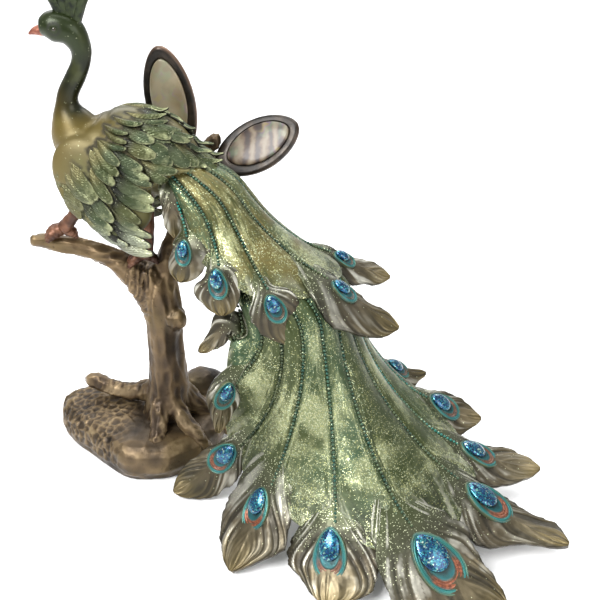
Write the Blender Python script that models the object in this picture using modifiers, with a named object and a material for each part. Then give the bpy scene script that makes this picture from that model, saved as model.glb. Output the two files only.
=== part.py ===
"""Peacock figurine: a bird on a forked tree stump over a rock, its train falling in two tiers.

One painted resin casting carries glued-in eye gems and two shell inlays.
+Z is up, the bird faces -X, and the origin lies on the table under the trunk.
"""

import math
from collections import namedtuple

import bmesh
import bpy
import numpy as np
from mathutils import Matrix, Vector, noise

# The figure's form is written in units: one unit is a millimetre when the crest
# stands 320 units above the table.
FIGURE_HEIGHT = 0.320
FORM_UNITS = 320.0
UNIT = FIGURE_HEIGHT / FORM_UNITS

# The rock is a plinth with sizes of its own.
ROCK_LENGTH = 0.118
ROCK_WIDTH = 0.092
ROCK_HEIGHT = 0.028

# Walls and fits
UPPER_TRAIN_WALL = 0.0055
LOWER_TRAIN_WALL = 0.0060
PLUME_WALL = 0.0032
LEAF_THICKNESS = 0.0065
INLAY_RECESS = 0.0022
INLAY_CROWN = 0.0016
GEM_THICKNESS = 0.0030
GLUE_GAP = 0.0003
EYE_RISE = 0.0014

# Directions and counts
TRAIN_FOLD = 1.7
CAST_DETAIL = 0.745
CRUMB_AREA = 1e-6
WING_ROWS = ((0.47, 4), (0.74, 6), (1.0, 8))
WING_ANGLES = (8, 14, 26, 38, 46, 54, 62, 68, 76, 86, 96)
WING_REACHES = (84, 66, 56, 55, 61, 66, 64, 56, 43, 34, 27)

CAST = (0.30, 0.34, 0.20, 1.0)
GEM_BLUE = (0.03, 0.25, 0.48, 1.0)
SHELL = (0.62, 0.55, 0.40, 1.0)

# Share of the way to the outermost quills that a tier's sheet reaches
SHEET_SHARE = 0.962
# How far along a plume its eye stands
EYE_AT = 0.42
# How a plume's half width runs from its root to its tip, as shares of the widest
PLUME_OUTLINE = (0.30, 0.54, 0.77, 0.94, 1.0, 0.99, 0.89, 0.64, 0.24)


def even(width):
    """Half widths of a plume that is the same on its two sides."""
    return tuple(width * share for share in PLUME_OUTLINE)


# A plume ends one line of the train. eye and tip are places in units, lift bends its end up,
# twist turns its face to the near side in degrees, and gem is the gem's length, 0 for none.
# left and right are its half widths at equal steps from its root to its tip.
Plume = namedtuple("Plume", "eye tip lift twist gem left right")

UPPER_PLUMES = (
    Plume(
        (28, -38, 172), (24, -41, 151), 2, 0, 9.5,
        (4, 7, 8, 8, 8.5, 9.5, 10, 8.5, 3), (4, 8, 11.5, 15, 16, 14, 11.5, 7.5, 2.5),
    ),
    Plume(
        (47, -50, 159), (49, -55, 137), 1, 0, 11,
        (4, 6, 6, 9, 15, 17, 16, 10.5, 6), (4, 7, 8.5, 13, 13, 12.5, 11, 9, 5.5),
    ),
    Plume(
        (77, -60, 148), (91, -62, 122), 4, 0, 11,
        (4, 6, 7.5, 13, 15, 14, 11, 6, 2.5), (4, 5, 6, 13, 14.5, 14, 7, 5, 3.5),
    ),
    Plume(
        (115, -40, 145), (151.5, -42, 119), 0, 0, 11,
        (5, 10, 16, 22, 25, 23, 19, 13.5, 4.5), (4, 7, 10, 11, 10, 8, 6.5, 9, 4),
    ),
    Plume(
        (117, 5, 142), (150, 10, 125), 1, 32, 10,
        (4, 7, 10, 13, 15, 14.5, 10.5, 8, 3), (4, 6, 7, 7, 6, 8, 9.5, 10.5, 3.5),
    ),
    Plume((94, 27, 137), (114, 38, 114), 3, 0, 10, even(13), even(13)),
    Plume((68, 30, 150), (72, 40, 125), 2, 0, 10, even(12), even(12)),
    Plume((44, 22, 166), (38, 27, 143), 2, 0, 9.5, even(11), even(11)),
)

LOWER_PLUMES = (
    Plume(
        (52, -52, 127), (33.5, -47, 107.5), 0, 0, 0,
        (4, 7, 9, 11.5, 11, 6, 4, 3, 1.5), (3, 5, 6, 6, 6.5, 7.5, 7, 4.5, 2),
    ),
    Plume(
        (49, -62, 91), (43, -64, 60), 0, 0, 12,
        (4, 6, 7, 9, 10.5, 9.5, 6.5, 4, 1.8), (3, 4, 4.5, 7.5, 10, 11.5, 9, 5.5, 2),
    ),
    Plume(
        (48, -50, 34), (12, -54, 5), 3, 0, 15,
        (5, 7, 8, 8.5, 10.5, 11.5, 12, 10, 4), (5, 8, 10, 12, 16, 17, 17, 11, 4),
    ),
    Plume(
        (70, -90, 28), (53.5, -123, 2.5), 2, 0, 16,
        (10, 17, 21, 24, 26, 26.5, 22.5, 14, 4), (9, 14, 18, 21, 24, 26.5, 24, 12, 4),
    ),
    Plume(
        (111, -122, 24), (108, -148, 2), 0, 0, 18,
        (9, 15, 20, 25, 28, 26, 18, 11, 5), (10, 16, 21, 25, 28, 29, 28, 22, 9),
    ),
    Plume(
        (166, -130, 25), (208, -158, 2.5), 0, 0, 24,
        (12, 20, 26, 31, 34, 33, 27, 18, 7), (11, 18, 24, 29, 29.5, 23, 18.5, 13.5, 7),
    ),
    Plume(
        (201, -85, 27), (251, -114, 15), 3, 0, 20,
        (9, 15, 20, 25, 30, 27, 14, 7, 4), (7, 10, 11, 12, 13.5, 15.5, 15.5, 16, 6),
    ),
    Plume(
        (201, -48, 32), (245.5, -54, 22), 2, 0, 16,
        (5, 8, 11, 17, 20, 20.5, 16, 10, 3.5), (5, 9, 10, 10, 11, 15, 16.5, 12.5, 3.5),
    ),
    Plume(
        (182, -20, 49), (212, -18, 35), 3, 25, 15,
        (5, 10, 17, 21, 22.5, 23, 15, 8, 3), (4, 5, 6.5, 9.5, 13.5, 14.5, 13.5, 9, 3.5),
    ),
    Plume(
        (153, -2, 65), (177, 6, 55), 2, 28, 12,
        (5, 10, 14, 14.5, 14.5, 14, 11, 5.5, 2.5), (4, 6, 6, 5, 4, 4, 3.5, 2.5, 1.5),
    ),
    Plume((120, 11, 81), (135, 29, 62), 2, 0, 12, even(14), even(14)),
    Plume((84, 13, 103), (80, 31, 83), 2, 0, 11, even(13), even(13)),
)

# The fold of coverts that hangs below the wing in front of the upper tier: place and half width
SIDE_FOLD = (
    ((17, -14, 208), 5),
    ((19, -22, 203), 6.5),
    ((20.5, -27, 196), 6.8),
    ((21, -30, 189), 6.4),
    ((21.2, -32, 182), 5),
    ((21.5, -33, 175.5), 1.6),
)

# An arch carries the quills where a tier starts: half width across, reach forward, the
# forward axis's tilt and heading in degrees, and how far round each side it runs.
Arch = namedtuple("Arch", "centre across forward tilt heading near far")

UPPER_ARCHES = (
    Arch((18, 0, 206), 20, 14, 80, -2, 100, 100),
    Arch((37, -7, 184), 28, 27, 24, -9, 104, 96),
)
LOWER_ARCHES = (
    Arch((57, -12, 157), 24, 20, 40, -14, 108, 100),
    Arch((89, -27, 127), 38, 36, 6, -28, 114, 106),
)

# Spine of the bird from the tail root to the brow: place and radius
BIRD_SPINE = (
    ((44, -3, 198), 10),
    ((29, -2, 202), 15.5),
    ((10, 0, 212), 24),
    ((-8, 0, 216), 26.2),
    ((-23, 0, 219), 22),
    ((-34, 0, 226), 17),
    ((-38, 0, 236), 11.3),
    ((-39, 0, 244), 7.0),
    ((-37.5, 0, 251), 6.0),
    ((-32.5, 0, 260), 5.8),
    ((-28.6, 0, 268.5), 5.5),
    ((-28, 0, 277), 6.2),
    ((-33, 0, 286), 8.3),
    ((-42, 0, 288.5), 8.6),
    ((-49, 0, 288), 4.6),
)

# Tops of the crest's plumes: distance along X and height
CREST = ((-43, 313), (-37.5, 318.5), (-31.5, 320), (-26.5, 317.5), (-22, 311))

# Limbs of the tree: places and radii along each
LIMBS = {
    "trunk": (
        ((2, 6, 12), 22), ((3, 5, 32), 15), ((6, 2, 56), 13.5), ((6, 0, 80), 11.5),
        ((6, 0, 104), 12), ((3, 0, 124), 13), ((-4, 0, 139), 7),
    ),
    "perch": (
        ((5, 0, 102), 9), ((-7, 0, 131), 10.5), ((-24, 0, 146), 6.8), ((-42, 0, 153), 5.4),
        ((-60, -1, 157), 4.4), ((-68, -2, 158.5), 3.4), ((-71, -2, 159), 1.2),
    ),
    "rear_branch": (
        ((5, 0, 112), 9), ((10, 3, 138), 8), ((19, 13, 161), 6.8), ((28, 27, 182), 6),
        ((33, 37, 198), 5.2), ((40, 34, 209), 5.2), ((40.5, 33, 214), 2.4),
    ),
    "knob": (((4, -1, 92), 5), ((12, -6, 102), 6.6), ((15.5, -9, 109), 6.8), ((16, -10, 114), 2.4)),
    "root_left": (
        ((2, 8, 44), 8), ((-14, 14, 36), 7), ((-32, 20, 33), 6), ((-50, 27, 36), 5.4),
        ((-56, 29, 36), 2),
    ),
    "root_front": (((1, 0, 50), 8), ((0, -16, 31), 6), ((-3, -32, 13), 4.6), ((-4, -36, 6), 2.4)),
    "root_right": (((5, -2, 50), 7), ((14, -12, 36), 5.6), ((28, -21, 20), 4.6), ((34, -24, 10), 3)),
    "root_side": (((6, 6, 48), 9), ((22, 9, 30), 7), ((38, 8, 14), 5), ((44, 7, 6), 3)),
    "left_stem": (((33, 37, 194), 4.8), ((25, 37.5, 205), 3.8), ((18.5, 37.5, 219), 2.2)),
    "right_stem": (((33, 38, 196), 4.6), ((44, 35, 192), 4.0), ((56, 34, 196), 2.6)),
    "boulder": (((8, 22, 14), 12), ((20, 36, 23), 13.5), ((31, 42, 24), 11), ((38, 44, 20), 5)),
}

# The rock's outline from above, as shares of its length and width from its middle
ROCK_PLAN = (
    (0.49, 0.0), (0.48, 0.33), (0.35, 0.46), (0.02, 0.47), (-0.22, 0.44), (-0.38, 0.42),
    (-0.50, 0.30), (-0.46, 0.02), (-0.28, -0.22), (-0.06, -0.47), (0.10, -0.50), (0.24, -0.46),
    (0.42, -0.28),
)
ROCK_CENTRE = (-15.5, 6)

# The inlaid leaves behind the bird: name, base, tip, the way the face looks, and width
LEAVES = (
    ("left", (20.5, 35, 199), (10, 35, 268), (-0.20, -0.93, 0.30), 31),
    ("right", (41, 32, 192.5), (92.5, 33, 219.5), (-0.10, -0.70, 0.70), 34),
)


def at(point):
    """A place in units as a point in metres."""
    return Vector(point) * UNIT


def catmull(values, t):
    """A smooth curve through values at whole numbers of t."""
    values = np.asarray(values, float)
    last = len(values) - 1
    k = min(int(t), last - 1)
    f = t - k
    before = values[k - 1] if k > 0 else 2 * values[0] - values[1]
    after = values[k + 2] if k + 2 <= last else 2 * values[last] - values[last - 1]
    here, there = values[k], values[k + 1]
    return 0.5 * (
        2 * here
        + (there - before) * f
        + (2 * before - 5 * here + 4 * there - after) * f**2
        + (3 * here - before - 3 * there + after) * f**3
    )


def hermite(p0, t0, p1, t1, f):
    return (
        (2 * f**3 - 3 * f**2 + 1) * p0
        + (f**3 - 2 * f**2 + f) * t0
        + (3 * f**2 - 2 * f**3) * p1
        + (f**3 - f**2) * t1
    )


def unit(v):
    return v / np.linalg.norm(v)


def smooth(f):
    f = min(max(f, 0.0), 1.0)
    return f * f * (3 - 2 * f)


# Helpers that make solids

def clear_scene():
    for old in list(bpy.data.objects):
        bpy.data.objects.remove(old)


def collection(name):
    made = bpy.data.collections.new(name)
    bpy.context.scene.collection.children.link(made)
    return made


def material(name, colour, roughness, metallic):
    made = bpy.data.materials.new(name)
    made.use_nodes = True
    shader = made.node_tree.nodes["Principled BSDF"]
    shader.inputs["Base Color"].default_value = colour
    shader.inputs["Roughness"].default_value = roughness
    shader.inputs["Metallic"].default_value = metallic
    return made


def add_mesh(name, vertices, faces, home):
    mesh = bpy.data.meshes.new(name)
    mesh.from_pydata([tuple(v) for v in vertices], [], faces)
    mesh.validate()
    made = bpy.data.objects.new(name, mesh)
    home.objects.link(made)
    return made


def as_solid(source, home):
    """The evaluated object as one welded mesh object that faces out; the source is removed."""
    bpy.context.view_layer.update()
    evaluated = source.evaluated_get(bpy.context.evaluated_depsgraph_get())
    mesh = bpy.data.meshes.new_from_object(evaluated)
    mesh.transform(source.matrix_world)
    work = bmesh.new()
    work.from_mesh(mesh)
    bmesh.ops.remove_doubles(work, verts=work.verts, dist=1e-6)
    bmesh.ops.recalc_face_normals(work, faces=work.faces)
    work.to_mesh(mesh)
    work.free()
    name = source.name
    bpy.data.objects.remove(source)
    made = bpy.data.objects.new(name, mesh)
    home.objects.link(made)
    return made


def tube(name, route, home, steps=4, sides=2):
    """A limb along route, a list of (place, radius) in units, smoothed between its points."""
    curve = bpy.data.curves.new(name, "CURVE")
    curve.dimensions = "3D"
    curve.bevel_depth = UNIT
    curve.bevel_resolution = sides
    curve.use_fill_caps = True
    spline = curve.splines.new("POLY")
    count = (len(route) - 1) * steps + 1
    spline.points.add(count - 1)
    rows = [(*place, radius) for place, radius in route]
    for k in range(count):
        x, y, z, radius = catmull(rows, k / steps)
        spline.points[k].co = (*at((x, y, z)), 1)
        spline.points[k].radius = max(radius, 0.2)
    source = bpy.data.objects.new(name, curve)
    home.objects.link(source)
    return as_solid(source, home)


def ball(name, place, radii, home, segments=10, rings=7, turn=Matrix()):
    mesh = bpy.data.meshes.new(name)
    work = bmesh.new()
    bmesh.ops.create_uvsphere(work, u_segments=segments, v_segments=rings, radius=1)
    work.to_mesh(mesh)
    work.free()
    made = bpy.data.objects.new(name, mesh)
    home.objects.link(made)
    size = Matrix.Diagonal((*[r * UNIT for r in radii], 1))
    mesh.transform(Matrix.Translation(at(place)) @ turn.to_4x4() @ size)
    return made


def prism(name, outline, layers, frame, home):
    """A closed stack of outline, given in metres, at each (height, scale) of layers."""
    count = len(outline)
    vertices = [frame @ Vector((x * s, y * s, h)) for h, s in layers for x, y in outline]
    faces = [tuple(reversed(range(count)))]
    for k in range(len(layers) - 1):
        low, high = k * count, (k + 1) * count
        for i in range(count):
            j = (i + 1) % count
            faces.append((low + i, low + j, high + j, high + i))
    faces.append(tuple(range((len(layers) - 1) * count, len(layers) * count)))
    return add_mesh(name, vertices, faces, home)


def sheet(name, surface, columns, rows, wall, home):
    """An open surface(u, v) in metres, thickened inwards by wall."""
    vertices = [surface(i / columns, j / rows) for j in range(rows + 1) for i in range(columns + 1)]
    faces = []
    for j in range(rows):
        for i in range(columns):
            a = j * (columns + 1) + i
            faces.append((a, a + columns + 1, a + columns + 2, a + 1))
    made = add_mesh(name, vertices, faces, home)
    thick = made.modifiers.new("wall", "SOLIDIFY")
    thick.thickness = wall
    thick.offset = -1
    thick.use_even_offset = False
    return as_solid(made, home)


def axes_frame(origin, along, normal):
    """A matrix whose X runs along, and whose Z is as near normal as it can be."""
    x = Vector(along).normalized()
    y = Vector(normal).cross(x).normalized()
    z = x.cross(y)
    turn = Matrix((x, y, z)).transposed().to_4x4()
    return Matrix.Translation(Vector(origin)) @ turn


# The train

def arch_point(arch, u):
    """Point of an arch, in units: u runs from -1 at the near side to 1 at the far side."""
    angle = math.radians(-arch.near + (u + 1) / 2 * (arch.near + arch.far))
    tilt, heading = math.radians(arch.tilt), math.radians(arch.heading)
    forward = np.array(
        (math.cos(tilt) * math.cos(heading), math.cos(tilt) * math.sin(heading), math.sin(tilt))
    )
    across = np.array((-math.sin(heading), math.cos(heading), 0))
    centre = np.array(arch.centre, float)
    return (
        centre
        + across * arch.across * math.sin(angle)
        + forward * arch.forward * math.cos(angle)
    )


class Tier:
    """One tier of the train: quills run from two arches to the eyes of its plumes.

    steep is how much of a quill's fall from the second arch is straight down.
    """

    def __init__(self, plumes, arches, steep):
        self.plumes = plumes
        self.arches = arches
        self.steep = steep
        self.eyes = np.array([p.eye for p in plumes], float)
        self.tips = np.array([p.tip for p in plumes], float)
        self.roots = [self.root(k) for k in range(len(plumes))]

    def quill(self, u, v):
        """Point on the tier's surface in units: v is 0 at the first arch and 1 at the eyes."""
        place = (u + 1) / 2 * (len(self.plumes) - 1)
        start = arch_point(self.arches[0], u)
        middle = arch_point(self.arches[1], u)
        eye, tip = catmull(self.eyes, place), catmull(self.tips, place)
        chord = np.linalg.norm(eye - middle)
        down = unit(unit(middle - start) * (1 - self.steep) + np.array((0, 0, -self.steep)))
        split = 0.35
        if v < split:
            first = (middle - start) * 1.0
            return hermite(start, first, middle, down * np.linalg.norm(first), v / split)
        out = unit(unit(tip - eye) + 0.6 * unit(eye - middle))
        return hermite(middle, down * chord, eye, out * chord, (v - split) / (1 - split))

    def root(self, index):
        """The v where a plume leaves the sheet, so that its eye stands at EYE_AT of its length."""
        plume = self.plumes[index]
        u = index / (len(self.plumes) - 1) * 2 - 1
        wanted = math.dist(plume.eye, plume.tip) * EYE_AT / (1 - EYE_AT)
        v, run, here = 1.0, 0.0, self.quill(u, 1.0)
        while run < wanted and v > 0.1:
            v -= 0.02
            there = self.quill(u, v)
            run += math.dist(here, there)
            here = there
        return v

    def frame(self, u, v):
        """Point, direction along the quill and outward normal, in units."""
        step = 0.01
        point = self.quill(u, v)
        along = unit(self.quill(u, v + step) - self.quill(u, v - step))
        low, high = max(u - step, -1), min(u + step, 1)
        across = self.quill(high, v) - self.quill(low, v)
        return point, along, unit(np.cross(along, across))

    def surface(self, u, v):
        """The sheet's outer face with its folds, in metres; u and v run from 0 to 1."""
        bands = len(self.plumes) - 1
        between = abs(math.sin(math.pi * u * bands))
        reach = v * (0.91 + 0.07 * between)
        point, _, normal = self.frame((2 * u - 1) * SHEET_SHARE, max(reach, 0.02))
        swell = TRAIN_FOLD * (between - 0.6) * math.sin(math.pi * min(v * 0.9 + 0.1, 1))
        return at(point + normal * swell)


def plume_path(tier, index, f):
    """Centre line of a plume in units, and its normal: f is EYE_AT at the eye and 1 at the tip."""
    plume = tier.plumes[index]
    u = index / (len(tier.plumes) - 1) * 2 - 1
    point, along, normal = tier.frame(u, 1.0)
    turn = math.radians(plume.twist) * smooth(f / EYE_AT)
    if f < EYE_AT:
        root = tier.roots[index]
        point, ahead, normal = tier.frame(u, root + (1 - root) * f / EYE_AT)
        return point, normal * math.cos(turn) + np.cross(ahead, normal) * math.sin(turn)
    normal = normal * math.cos(turn) + np.cross(along, normal) * math.sin(turn)
    eye, tip = np.array(plume.eye, float), np.array(plume.tip, float)
    span = np.linalg.norm(tip - eye)
    g = (f - EYE_AT) / (1 - EYE_AT)
    finish = unit(tip - eye) + np.array((0, 0, 0.10 * plume.lift))
    return hermite(eye, along * span, tip, finish * span, g), normal


def plume_surface(tier, index, s, t):
    """Outer face of a plume in metres: s runs along it and t across it, both from 0 to 1."""
    f = s * 0.99
    point, normal = plume_path(tier, index, f)
    ahead, _ = plume_path(tier, index, f + 0.01)
    along = unit(ahead - point)
    across = unit(np.cross(normal, along))
    rise = np.cross(along, across)
    side = 2 * t - 1
    plume = tier.plumes[index]
    half = float(catmull(plume.left if side < 0 else plume.right, s * 8))
    bow = -0.16 * half * side**2
    lap = 2.6 * smooth(s / 0.35) - 0.6
    return at(point + across * half * side + rise * (bow + lap))


def teardrop(length, width, count):
    """Outline in metres, its point towards -X and its round end towards +X."""
    outline = []
    for k in range(count):
        angle = 2 * math.pi * k / count
        x = -0.5 * length * math.cos(angle)
        y = -0.5 * width * math.sin(angle) * (0.62 + 0.38 * math.sin(angle / 2) ** 1.2)
        outline.append((x, y))
    return outline


def eye_frame(tier, index):
    """Where a plume's eye plate stands: its origin is on the plume's outer face."""
    point, normal = plume_path(tier, index, EYE_AT)
    ahead, _ = plume_path(tier, index, EYE_AT + 0.02)
    face = plume_surface(tier, index, EYE_AT / 0.99, 0.5)
    return axes_frame(face, ahead - point, normal)


def eye_plate(name, tier, index, home):
    plume = tier.plumes[index]
    frame = eye_frame(tier, index)
    outline = teardrop(plume.gem * 1.75 * UNIT, plume.gem * 1.3 * UNIT, 9)
    frame = frame @ Matrix.Translation((plume.gem * 0.28 * UNIT, 0, 0))
    layers = ((-PLUME_WALL * 0.6, 0.98), (EYE_RISE, 0.94))
    return prism(name, outline, layers, frame, home)


def eye_gem(name, tier, index, home):
    plume = tier.plumes[index]
    outline = teardrop(plume.gem * UNIT, plume.gem * 0.78 * UNIT, 8)
    seat = EYE_RISE + GLUE_GAP
    layers = ((seat, 1.0), (seat + GEM_THICKNESS * 0.55, 0.92), (seat + GEM_THICKNESS, 0.55))
    return prism(name, outline, layers, eye_frame(tier, index), home)


def side_fold(t, s):
    """Outer face of the fold of coverts in metres: s runs down it and t across it."""
    x, y, z, half = catmull([(*place, half) for place, half in SIDE_FOLD], s * (len(SIDE_FOLD) - 1))
    side = 2 * t - 1
    return at((x + half * side, y + 0.35 * half * side + 1.5 * side**2, z))


def add_train(home):
    tiers = {
        "upper": Tier(UPPER_PLUMES, UPPER_ARCHES, 0.42),
        "lower": Tier(LOWER_PLUMES, LOWER_ARCHES, 0.80),
    }
    for (name, tier), wall in zip(tiers.items(), (UPPER_TRAIN_WALL, LOWER_TRAIN_WALL)):
        bands = 2 * (len(tier.plumes) - 1)
        sheet(name + "_sheet", tier.surface, bands, 7, wall, home)
        for k, plume in enumerate(tier.plumes):
            part = f"{name}_plume_{k + 1}"

            def face(t, s, k=k, tier=tier):
                return plume_surface(tier, k, s, t)

            sheet(part, face, 2, 6, PLUME_WALL, home)
            if plume.gem:
                eye_plate(part + "_plate", tier, k, home)
    sheet("side_fold", side_fold, 2, 6, PLUME_WALL, home)
    return tiers


# The bird

def spine_at(t):
    return catmull([(*place, radius) for place, radius in BIRD_SPINE], t)


def add_bird(home):
    tube("body", BIRD_SPINE, home, steps=2, sides=3)
    beak = (((-46, 0, 286.5), 4.4), ((-51.5, 0, 285.5), 2.6), ((-55.5, 0, 284), 0.7))
    tube("beak", beak, home, steps=1, sides=1)
    for k, (top, height) in enumerate(CREST):
        root = (-31 + 0.22 * (top + 28), 0.35 * (k % 2), 289)
        middle = (0.45 * root[0] + 0.55 * top, 0, 0.5 * (289 + height))
        route = ((root, 3.0), (middle, 2.9), ((top, 0, height - 3), 3.2), ((top, 0, height), 1.0))
        tube(f"crest_{k + 1}", route, home, 1, 1)


def wing_reach(angle):
    """How far the wing's feathers reach from the shoulder at an angle below the horizon."""
    return float(np.interp(angle, WING_ANGLES, WING_REACHES))


def wing_point(distance, angle, side):
    """Point on the wing's face in units; side is -1 for the near wing and 1 for the far wing."""
    turn = math.radians(angle)
    x = -42 + distance * math.cos(turn)
    z = 224 - distance * math.sin(turn)
    out = 12.5 + 16.5 * (1 - math.exp(-distance / 17))
    out -= 10 * smooth((distance - 55) / 40) * (1 - smooth((angle - 10) / 25))
    return np.array((x, side * out, z))


def wing_feather(name, distance, angle, side, length, width, home):
    tip = wing_point(distance, angle, side)
    root = wing_point(distance - length, angle - 4, side)
    normal = unit(np.array((-0.1, side, 0.15)))
    middle = (tip * 0.52 + root * 0.48) + normal * 0.3
    frame = axes_frame((0, 0, 0), tip + normal * 1.6 - root, normal)
    ball(name, middle, (length * 0.56, width, 2.3), home, 6, 3, frame)


def add_wings(home):
    for side, which in ((-1, "near"), (1, "far")):
        turn = axes_frame((0, 0, 0), (50, side * 8, -58), (0, side, 0))
        ball(f"{which}_wing", (-20, side * 18, 201), (34, 24, 9.5), home, 10, 6, turn)
        for row, (share, count) in enumerate(WING_ROWS):
            for k in range(count):
                angle = 12 + (94 - 12) * (k + 0.5) / count
                distance = wing_reach(angle) * share
                name = f"{which}_feather_{row + 1}_{k + 1}"
                wing_feather(name, distance, angle, side, 25, 5.8, home)
    for row, t in enumerate((2.3, 1.6, 0.9)):
        x, y, z, radius = spine_at(t)
        for k in range(4):
            around = math.radians(-63 + 42 * k)
            normal = np.array((0.12, math.sin(around), math.cos(around)))
            place = np.array((x, y, z)) + unit(normal) * (radius - 0.4)
            along = spine_at(t - 0.4)[:3] - spine_at(t + 0.4)[:3] + 3 * normal
            frame = axes_frame((0, 0, 0), along, normal)
            ball(f"back_feather_{row + 1}_{k + 1}", place, (13, 6.4, 2.2), home, 6, 3, frame)


def add_legs(home):
    legs = (
        ("left", ((-30, -8, 196), (-39, -7, 181), (-49, -3.5, 168)), (-50, -3, 167), 186, 3.8),
        ("right", ((0, 2, 194), (2, -3, 174), (-1, -4, 148)), (-2, -4, 150), 184, 3.2),
    )
    for which, bones, foot, heading, thick in legs:
        tube(which + "_leg", list(zip(bones, (6, 3.8, 4.4))), home, 2, 1)
        for k, spread in enumerate((-26, 0, 26, 180)):
            turn = math.radians(heading + spread)
            reach = 8 if spread == 180 else 11
            x, y, z = foot
            dx, dy = math.cos(turn), math.sin(turn)
            heel = (x - dx * 1.5, y - dy * 1.5, z + 0.5 + 0.3 * k)
            knuckle = (x + dx * reach * 0.6, y + dy * reach * 0.6, z - 2)
            claw = (x + dx * reach, y + dy * reach, z - 6.5)
            bones = ((heel, thick), (knuckle, thick * 0.95), (claw, 1.6))
            tube(f"{which}_toe_{k + 1}", bones, home, 1, 1)


# The tree and the rock

def add_tree(home):
    for name, route in LIMBS.items():
        sides = 2 if name in ("trunk", "perch") else 1
        tube(name, route, home, steps=2, sides=sides)


def rock_point(turn, level):
    """Point of the rock in metres: turn is 0 to 1 round it, level 0 at the table and 1 at its top."""
    count = len(ROCK_PLAN)
    ring = [ROCK_PLAN[k % count] for k in range(-2, count + 3)]
    x, y = catmull(ring, 2 + turn * count)
    ridge = np.interp(level, (0, 0.25, 0.5, 0.72, 0.86, 1), (0.92, 1.0, 0.97, 0.84, 0.5, 0))
    height = np.interp(level, (0, 0.25, 0.5, 0.72, 0.86, 1), (-0.12, 0.30, 0.66, 0.86, 0.93, 0.96))
    place = Vector((x * ROCK_LENGTH * ridge, y * ROCK_WIDTH * ridge, 0))
    rough = noise.noise(Vector((place.x, place.y, level * 0.03)) * 70) * 0.5 * level * (1 - level)
    place.z = ROCK_HEIGHT * (height + rough)
    return place + at((*ROCK_CENTRE, 0))


def add_rock(home):
    count, levels = 26, (0, 0.25, 0.5, 0.72, 0.86)
    vertices = [rock_point(k / count, level) for level in levels for k in range(count)]
    vertices.append(rock_point(0, 1))
    faces = [tuple(reversed(range(count)))]
    for j in range(len(levels) - 1):
        for k in range(count):
            a, b = j * count + k, j * count + (k + 1) % count
            faces.append((a, b, b + count, a + count))
    ring = (len(levels) - 1) * count
    for k in range(count):
        faces.append((ring + k, ring + (k + 1) % count, len(vertices) - 1))
    return add_mesh("rock", vertices, faces, home)


# The inlaid leaves behind the bird

def almond(length, width, count):
    """Outline in metres of a leaf along X, its base at -X."""
    outline = []
    for k in range(count):
        angle = 2 * math.pi * k / count
        bulge = 0.80 + 0.20 * abs(math.sin(angle))
        outline.append((-0.5 * length * math.cos(angle), -0.5 * width * math.sin(angle) * bulge))
    return outline


def leaf_frame(base, tip, normal):
    middle = (np.array(base, float) + np.array(tip, float)) / 2
    return axes_frame(at(middle), np.array(tip, float) - np.array(base, float), normal)


def add_leaves(home, cutters, parts):
    for which, base, tip, normal, width in LEAVES:
        frame = leaf_frame(base, tip, normal)
        length = float(np.linalg.norm(np.array(tip) - np.array(base))) * UNIT
        width = width * UNIT
        half = LEAF_THICKNESS / 2
        body = prism(
            f"{which}_leaf",
            almond(length, width, 16),
            ((-half, 0.80), (-half * 0.2, 0.98), (half * 0.6, 1.0), (half, 0.93)),
            frame,
            home,
        )
        inlay = frame @ Matrix.Translation((length * 0.03, 0, half - INLAY_RECESS))
        gap = GLUE_GAP
        seat = almond(length * 0.72 + 2 * gap, width * 0.70 + 2 * gap, 14)
        cutter = prism(f"{which}_leaf_recess", seat, ((0, 1), (INLAY_RECESS * 2, 1)), inlay, cutters)
        cut = body.modifiers.new("recess", "BOOLEAN")
        cut.operation = "DIFFERENCE"
        cut.object = cutter
        as_solid(body, home)
        shell = almond(length * 0.72, width * 0.70, 14)
        crown = INLAY_RECESS + INLAY_CROWN
        layers = ((gap, 1), (INLAY_RECESS * 0.9, 1), (crown * 0.85, 0.8), (crown, 0.4))
        made = prism(f"shell_inlay_{which}", shell, layers, inlay, parts)
        made.data.materials.append(bpy.data.materials["shell"])


# Assembly

def outer_shell(mesh):
    """Removes the closed surfaces of hollows that the pieces enclose, and keeps the one round all.

    Where two pieces graze each other, rounding can leave a closed crumb under CRUMB_AREA: it goes too.
    """
    work = bmesh.new()
    work.from_mesh(mesh)
    bmesh.ops.remove_doubles(work, verts=work.verts, dist=1e-6)
    bmesh.ops.triangulate(work, faces=work.faces)
    seen = set()
    hollows = []
    bodies = []
    for start in work.faces:
        if start in seen:
            continue
        stack, shell = [start], []
        seen.add(start)
        while stack:
            here = stack.pop()
            shell.append(here)
            for edge in here.edges:
                for other in edge.link_faces:
                    if other not in seen:
                        seen.add(other)
                        stack.append(other)
        corners = ([v.co for v in face.verts] for face in shell)
        faces_out = sum(a.dot(b.cross(c)) for a, b, c in corners) > 0
        if faces_out and sum(face.calc_area() for face in shell) > CRUMB_AREA:
            bodies.append([round(x / UNIT) for x in start.calc_center_median()])
        else:
            hollows += shell
    if len(bodies) != 1:
        raise ValueError(f"a piece doesn't reach the rest of the casting: bodies at {bodies}")
    bmesh.ops.delete(work, geom=hollows, context="FACES")
    work.to_mesh(mesh)
    work.free()


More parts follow.
